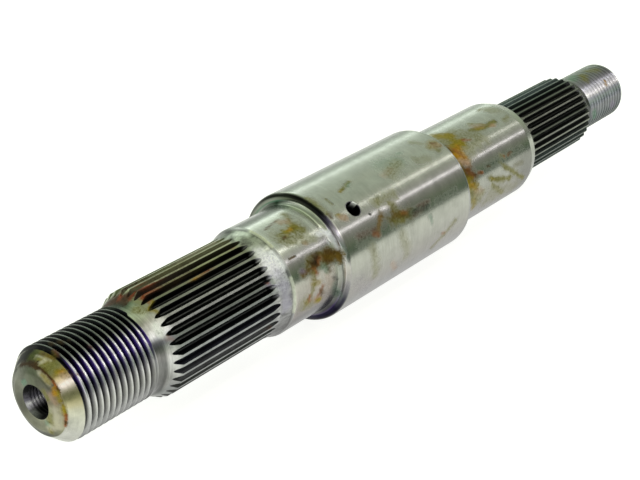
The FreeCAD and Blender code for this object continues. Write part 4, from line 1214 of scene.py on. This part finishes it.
class Tree:
    def __init__(self, tree):
        self.t = tree
        self.t.nodes.clear()

    def node(self, kind, **props):
        n = self.t.nodes.new(kind)
        for k, v in props.items():
            setattr(n, k, v)
        return n

    def put(self, socket, value):
        if isinstance(value, bpy.types.NodeSocket):
            self.t.links.new(value, socket)
        else:
            socket.default_value = value

    def math(self, op, a, b=None, c=None, clamp=False):
        n = self.node("ShaderNodeMath", operation=op, use_clamp=clamp)
        for s, v in zip(n.inputs, (a, b, c)):
            if v is not None:
                self.put(s, v)
        return n.outputs[0]

    def span(self, v, a, b, c=0.0, d=1.0, kind="LINEAR"):
        n = self.node("ShaderNodeMapRange", interpolation_type=kind, clamp=True)
        for s, x in zip(n.inputs, (v, a, b, c, d)):
            self.put(s, x)
        return n.outputs[0]

    def mix(self, fac, a, b, mode="MIX"):
        n = self.node("ShaderNodeMix", data_type="RGBA", blend_type=mode, clamp_factor=True)
        self.put(n.inputs["Factor"], fac)
        for s, x in ((n.inputs[6], a), (n.inputs[7], b)):
            self.put(s, x if isinstance(x, bpy.types.NodeSocket) else (*x, 1.0))
        return n.outputs[2]

    def blend(self, fac, a, b):
        n = self.node("ShaderNodeMix", data_type="FLOAT", clamp_factor=True)
        self.put(n.inputs["Factor"], fac)
        self.put(n.inputs[2], a)
        self.put(n.inputs[3], b)
        return n.outputs[0]

    def noise(self, vec, scale, detail=3.0, rough=0.55, warp=0.0):
        n = self.node("ShaderNodeTexNoise")
        self.put(n.inputs["Vector"], vec)
        n.inputs["Scale"].default_value = scale
        n.inputs["Detail"].default_value = detail
        n.inputs["Roughness"].default_value = rough
        n.inputs["Distortion"].default_value = warp
        return n.outputs["Fac"]

    def vec(self, x, y, z):
        n = self.node("ShaderNodeCombineXYZ")
        for s, v in zip(n.inputs, (x, y, z)):
            self.put(s, v)
        return n.outputs[0]


def shaft_material(name, rough, aniso, marks=0.05, mark_scale=1.0, mottle=0.25, lines_dark=0.12, scratch=0.0, speck=0.15, grooves=False):
    """Steel in the tone of the 'steel_light_shade' attribute, which holds painted light and shade, with turning or
    grinding marks round the axis, and stains, painted highlights and painted shade from the 'stain_light_shade'
    attribute."""
    mat = bpy.data.materials.new(name)
    mat.use_nodes = True
    T = Tree(mat.node_tree)
    tc = T.node("ShaderNodeTexCoord")
    sep = T.node("ShaderNodeSeparateXYZ")
    T.put(sep.inputs[0], tc.outputs["Object"])
    x = T.math("MULTIPLY_ADD", sep.outputs[0], 1000.0, -X0)       # station, mm
    y = T.math("MULTIPLY", sep.outputs[1], 1000.0)
    z = T.math("MULTIPLY_ADD", sep.outputs[2], 1000.0, -AXIS_Z)
    p = T.vec(x, y, z)
    lines = T.noise(T.vec(T.math("MULTIPLY", x, 6.0 * mark_scale), T.math("MULTIPLY", y, 0.10), T.math("MULTIPLY", z, 0.10)), 1.0, 3.0, 0.6)
    band = T.noise(T.vec(T.math("MULTIPLY", x, 0.9), T.math("MULTIPLY", y, 0.05), T.math("MULTIPLY", z, 0.05)), 1.0, 2.0)
    soft = T.noise(p, 0.13, 4.0, 0.6, 0.4)
    grain = T.noise(p, 0.9, 5.0, 0.7)
    dots = T.noise(p, 2.6, 3.0, 0.7)
    steel_light_shade = T.node("ShaderNodeAttribute", attribute_name="steel_light_shade").outputs["Color"]
    # painted shade in the grooves and spaces, from the 'gulf' attribute
    if grooves:
        gulf = T.node("ShaderNodeAttribute", attribute_name="gulf")
        steel_light_shade = T.mix(T.span(gulf.outputs["Alpha"], 0.0, 1.0), steel_light_shade, gulf.outputs["Color"])
    st = T.node("ShaderNodeAttribute", attribute_name="stain_light_shade")
    # mottled tone: darker and lighter clouds, fine lines round the shaft, specks
    level = T.span(soft, 0.3, 0.7, 1.0 - mottle * 0.5, 1.0 + mottle * 0.4)
    level = T.math("MULTIPLY", level, T.span(lines, 0.35, 0.7, 1.0, 1.0 - lines_dark))
    level = T.math("MULTIPLY", level, T.span(band, 0.4, 0.7, 0.97, 1.05))
    level = T.math("MULTIPLY", level, T.span(dots, 0.62, 0.78, 1.0, 1.0 - speck))
    if scratch > 0:
        ang = T.math("ARCTAN2", z, y)
        slant = T.noise(T.vec(T.math("MULTIPLY_ADD", x, 0.28, T.math("MULTIPLY", ang, 9.0)), T.math("MULTIPLY_ADD", x, -0.06, T.math("MULTIPLY", ang, 16.0)), T.math("MULTIPLY", x, 0.02)), 1.0, 4.0, 0.75)
        where = T.span(x, 104.5, 108.5)
        level = T.math("MULTIPLY", level, T.blend(where, 1.0, T.span(slant, 0.46, 0.62, 1.0, 1.0 - scratch)))
        level = T.math("MULTIPLY", level, T.blend(where, 1.0, T.span(slant, 0.40, 0.30, 1.0, 1.25)))
    n = T.node("ShaderNodeVectorMath", operation="SCALE")
    T.put(n.inputs[0], steel_light_shade)
    T.put(n.inputs["Scale"], level)
    col = n.outputs[0]
    # stains, painted highlights and painted shade: patchy cover, darker hearts
    a = T.math("MULTIPLY", T.span(grain, 0.30, 0.66, 0.40, 1.60), T.span(dots, 0.30, 0.68, 0.60, 1.40))
    a = T.blend(T.span(st.outputs["Alpha"], 0.55, 1.0), a, 1.0)
    a = T.math("MULTIPLY", st.outputs["Alpha"], a, clamp=True)
    n = T.node("ShaderNodeVectorMath", operation="SCALE")
    T.put(n.inputs[0], st.outputs["Color"])
    T.put(n.inputs["Scale"], T.math("MULTIPLY", T.span(grain, 0.3, 0.72, 1.45, 0.55), T.span(dots, 0.35, 0.75, 1.15, 0.75)))
    col = T.mix(a, col, n.outputs[0])
    metal = T.math("SUBTRACT", 1.0, T.math("MULTIPLY", a, 0.85))
    gloss = T.blend(T.span(grain, 0.3, 0.7), rough * 0.88, rough * 1.14)
    gloss = T.blend(a, gloss, 0.5)
    shine = T.blend(a, 0.5, 0.12)
    bump = T.node("ShaderNodeBump")
    bump.inputs["Distance"].default_value = 0.001
    h = T.math("MULTIPLY", lines, marks * 0.02)
    h = T.math("MULTIPLY_ADD", grain, marks * 0.03, h)
    h = T.math("MULTIPLY_ADD", a, 0.012, h)
    T.put(bump.inputs["Height"], h)
    b = T.node("ShaderNodeBsdfPrincipled")
    T.put(b.inputs["Base Color"], col)
    T.put(b.inputs["Metallic"], metal)
    T.put(b.inputs["Roughness"], gloss)
    T.put(b.inputs["Specular IOR Level"], shine)
    b.inputs["Anisotropic"].default_value = aniso
    b.inputs["Anisotropic Rotation"].default_value = 0.25
    T.put(b.inputs["Normal"], bump.outputs[0])
    tan = T.node("ShaderNodeTangent", direction_type="RADIAL", axis="X")
    T.put(b.inputs["Tangent"], tan.outputs[0])
    out = T.node("ShaderNodeOutputMaterial")
    T.put(out.inputs["Surface"], b.outputs[0])
    return mat


for m in (
    shaft_material("ground_steel", 0.23, 0.7, marks=0.06, mottle=0.22),
    shaft_material("turned_steel", 0.32, 0.6, marks=0.25, mark_scale=0.6),
    shaft_material("thread_near", 0.30, 0.4, marks=0.10, mottle=0.35, lines_dark=0.05, speck=0.35, grooves=True),
    shaft_material("spline_near", 0.34, 0.0, marks=0.08, mottle=0.45, lines_dark=0.05, scratch=0.5, speck=0.35, grooves=True),
    shaft_material("thread_far", 0.34, 0.5, marks=0.12, mottle=0.45, lines_dark=0.10, speck=0.3, grooves=True),
    shaft_material("end_face", 0.42, 0.3, marks=0.2, mark_scale=0.5, mottle=0.7, speck=0.3),
    shaft_material("drilled_steel", 0.30, 0.0, marks=0.05),
    shaft_material("spline_far", 0.34, 0.0, marks=0.08, mottle=0.4, lines_dark=0.05, speck=0.3, grooves=True),
    shaft_material("lead_chamfer", 0.30, 0.4, marks=0.2, mark_scale=0.5, mottle=0.6, speck=0.3),
    shaft_material("near_cone", 0.34, 0.3, marks=0.5, mark_scale=0.45, mottle=0.5, lines_dark=0.35, speck=0.3),
    shaft_material("near_shoulder", 0.22, 0.2, marks=0.1, mottle=0.3),
    shaft_material("run_out", 0.38, 0.2, marks=0.3, mark_scale=0.6, mottle=0.4, scratch=0.55),
):
    mesh.materials.append(m)

wn = shaft.modifiers.new("weighted_normals", "WEIGHTED_NORMAL")
wn.mode = "FACE_AREA"
wn.weight = 50
wn.keep_sharp = True

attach(shaft, "root")
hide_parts("splined_shaft")

# -------------------------------------------------------------------- floor

fm = bpy.data.meshes.new("floor")
fxs = [-0.9, -0.5, -0.2, 0.1, 0.4, 0.7, 1.1]
fys = [-0.34, -0.2, 0.0, 0.2, 0.5, 0.9, 1.6]
fv = [(fx, fy, 0.0) for fy in fys for fx in fxs]
nx = len(fxs)
ff = [(j * nx + i, j * nx + i + 1, (j + 1) * nx + i + 1, (j + 1) * nx + i) for j in range(len(fys) - 1) for i in range(nx - 1)]
fm.from_pydata(fv, [], ff)
fm.update()
floor = bpy.data.objects.new("floor", fm)
bpy.context.scene.collection.objects.link(floor)
white = bpy.data.materials.new("pale_floor")
white.use_nodes = True
T = Tree(white.node_tree)
b = T.node("ShaderNodeBsdfPrincipled")
b.inputs["Base Color"].default_value = (0.45, 0.455, 0.44, 1.0)
b.inputs["Roughness"].default_value = 0.9
b.inputs["Specular IOR Level"].default_value = 0.0
b.inputs["Emission Color"].default_value = (1.0, 1.0, 0.985, 1.0)
b.inputs["Emission Strength"].default_value = 0.86
out = T.node("ShaderNodeOutputMaterial")
T.put(out.inputs["Surface"], b.outputs[0])
fm.materials.append(white)

# -------------------------------------------------------------------- light

world = bpy.data.worlds.new("studio")
bpy.context.scene.world = world
world.use_nodes = True
T = Tree(world.node_tree)
tc = T.node("ShaderNodeTexCoord")
sep = T.node("ShaderNodeSeparateXYZ")
T.put(sep.inputs[0], tc.outputs["Generated"])
eps = T.math("DEGREES", T.math("ARCTAN2", sep.outputs[2], T.math("MULTIPLY", sep.outputs[1], -1.0)))
pos_w = T.math("MULTIPLY_ADD", eps, 1 / 360.0, 0.5)
ramp = T.node("ShaderNodeValToRGB")
stops = [(-180, (0.62, 0.66, 0.60)), (-120, (0.5, 0.5, 0.5)), (-30, (0.2, 0.2, 0.2)), (-6, (0.14, 0.16, 0.13)), (3, (0.13, 0.19, 0.12)), (14, (0.21, 0.26, 0.18)),
         (24, (0.30, 0.33, 0.26)), (34, (0.42, 0.43, 0.37)), (38, (0.52, 0.53, 0.47)), (54, (0.60, 0.62, 0.52)), (78, (0.60, 0.66, 0.48)),
         (105, (0.62, 0.72, 0.50)), (125, (0.70, 0.83, 0.60)), (140, (0.85, 1.0, 0.78)), (152, (1.1, 1.25, 1.0)), (165, (0.70, 0.80, 0.66)),
         (180, (0.62, 0.66, 0.60))]
el = ramp.color_ramp.elements
el[0].position, el[0].color = 0.0, (*stops[0][1], 1.0)
el[1].position, el[1].color = 1.0, (*stops[-1][1], 1.0)
for e_deg, c in stops[1:-1]:
    s = el.new(e_deg / 360.0 + 0.5)
    s.color = (*c, 1.0)
T.put(ramp.inputs[0], pos_w)
bg = T.node("ShaderNodeBackground")
T.put(bg.inputs["Color"], ramp.outputs[0])
bg.inputs["Strength"].default_value = 1.0
pale = T.node("ShaderNodeBackground")
pale.inputs["Color"].default_value = (1.0, 1.0, 0.995, 1.0)
lp = T.node("ShaderNodeLightPath")
ms = T.node("ShaderNodeMixShader")
T.put(ms.inputs[0], lp.outputs["Is Camera Ray"])
T.put(ms.inputs[1], bg.outputs[0])
T.put(ms.inputs[2], pale.outputs[0])
out = T.node("ShaderNodeOutputWorld")
T.put(out.inputs["Surface"], ms.outputs[0])


def strip(name, eps_deg, half_width_deg, radiance, color=(1, 1, 1), dist=2.0, length=9.0):
    """A long soft strip light, parallel to the shaft, at an angle from the camera's side of the horizon."""
    e = math.radians(eps_deg)
    zl = Vector((0.0, -math.cos(e), math.sin(e)))
    xl = Vector((1.0, 0.0, 0.0))
    yl = zl.cross(xl)
    width = 2 * dist * math.tan(math.radians(half_width_deg))
    data = bpy.data.lights.new(name, "AREA")
    data.shape = "RECTANGLE"
    data.size, data.size_y = length, width
    data.energy = radiance * math.pi * length * width
    data.color = color
    ob = bpy.data.objects.new(name, data)
    bpy.context.scene.collection.objects.link(ob)
    m = Matrix((xl, yl, zl)).transposed().to_4x4()
    m.translation = Vector((1.0, 0.0, AXIS_Z / 1000.0)) + zl * dist
    ob.matrix_world = m
    ob.visible_camera = False
    return ob


strip("strip_front", 39.9, 1.6, 3.0, (1.0, 1.0, 0.98))
strip("strip_high", 64.6, 1.6, 2.8, (1.0, 1.0, 0.94))
strip("strip_back", 150.5, 3.5, 1.5, (0.93, 1.0, 0.93))

# ------------------------------------------------------------------- camera

cam_data = bpy.data.cameras.new("camera")
cam_data.sensor_width = 36.0
cam_data.lens = 77.149
cam_data.clip_start, cam_data.clip_end = 0.01, 100.0
camera = bpy.data.objects.new("camera", cam_data)
bpy.context.scene.collection.objects.link(camera)
right = Vector((0.62364, -0.78171, 0.0))
up = Vector((0.34393, 0.27439, 0.89801))
back = Vector((-0.70198, -0.56004, 0.43998))
m = Matrix((right, up, back)).transposed().to_4x4()
m.translation = Vector(((X0 - 265.77) / 1000.0, -0.34316, (AXIS_Z + 271.77) / 1000.0))
camera.matrix_world = m
bpy.context.scene.camera = camera

vs = bpy.context.scene.view_settings
vs.view_transform = "Standard"
vs.look = "None"
vs.exposure = 0.0
vs.gamma = 1.0
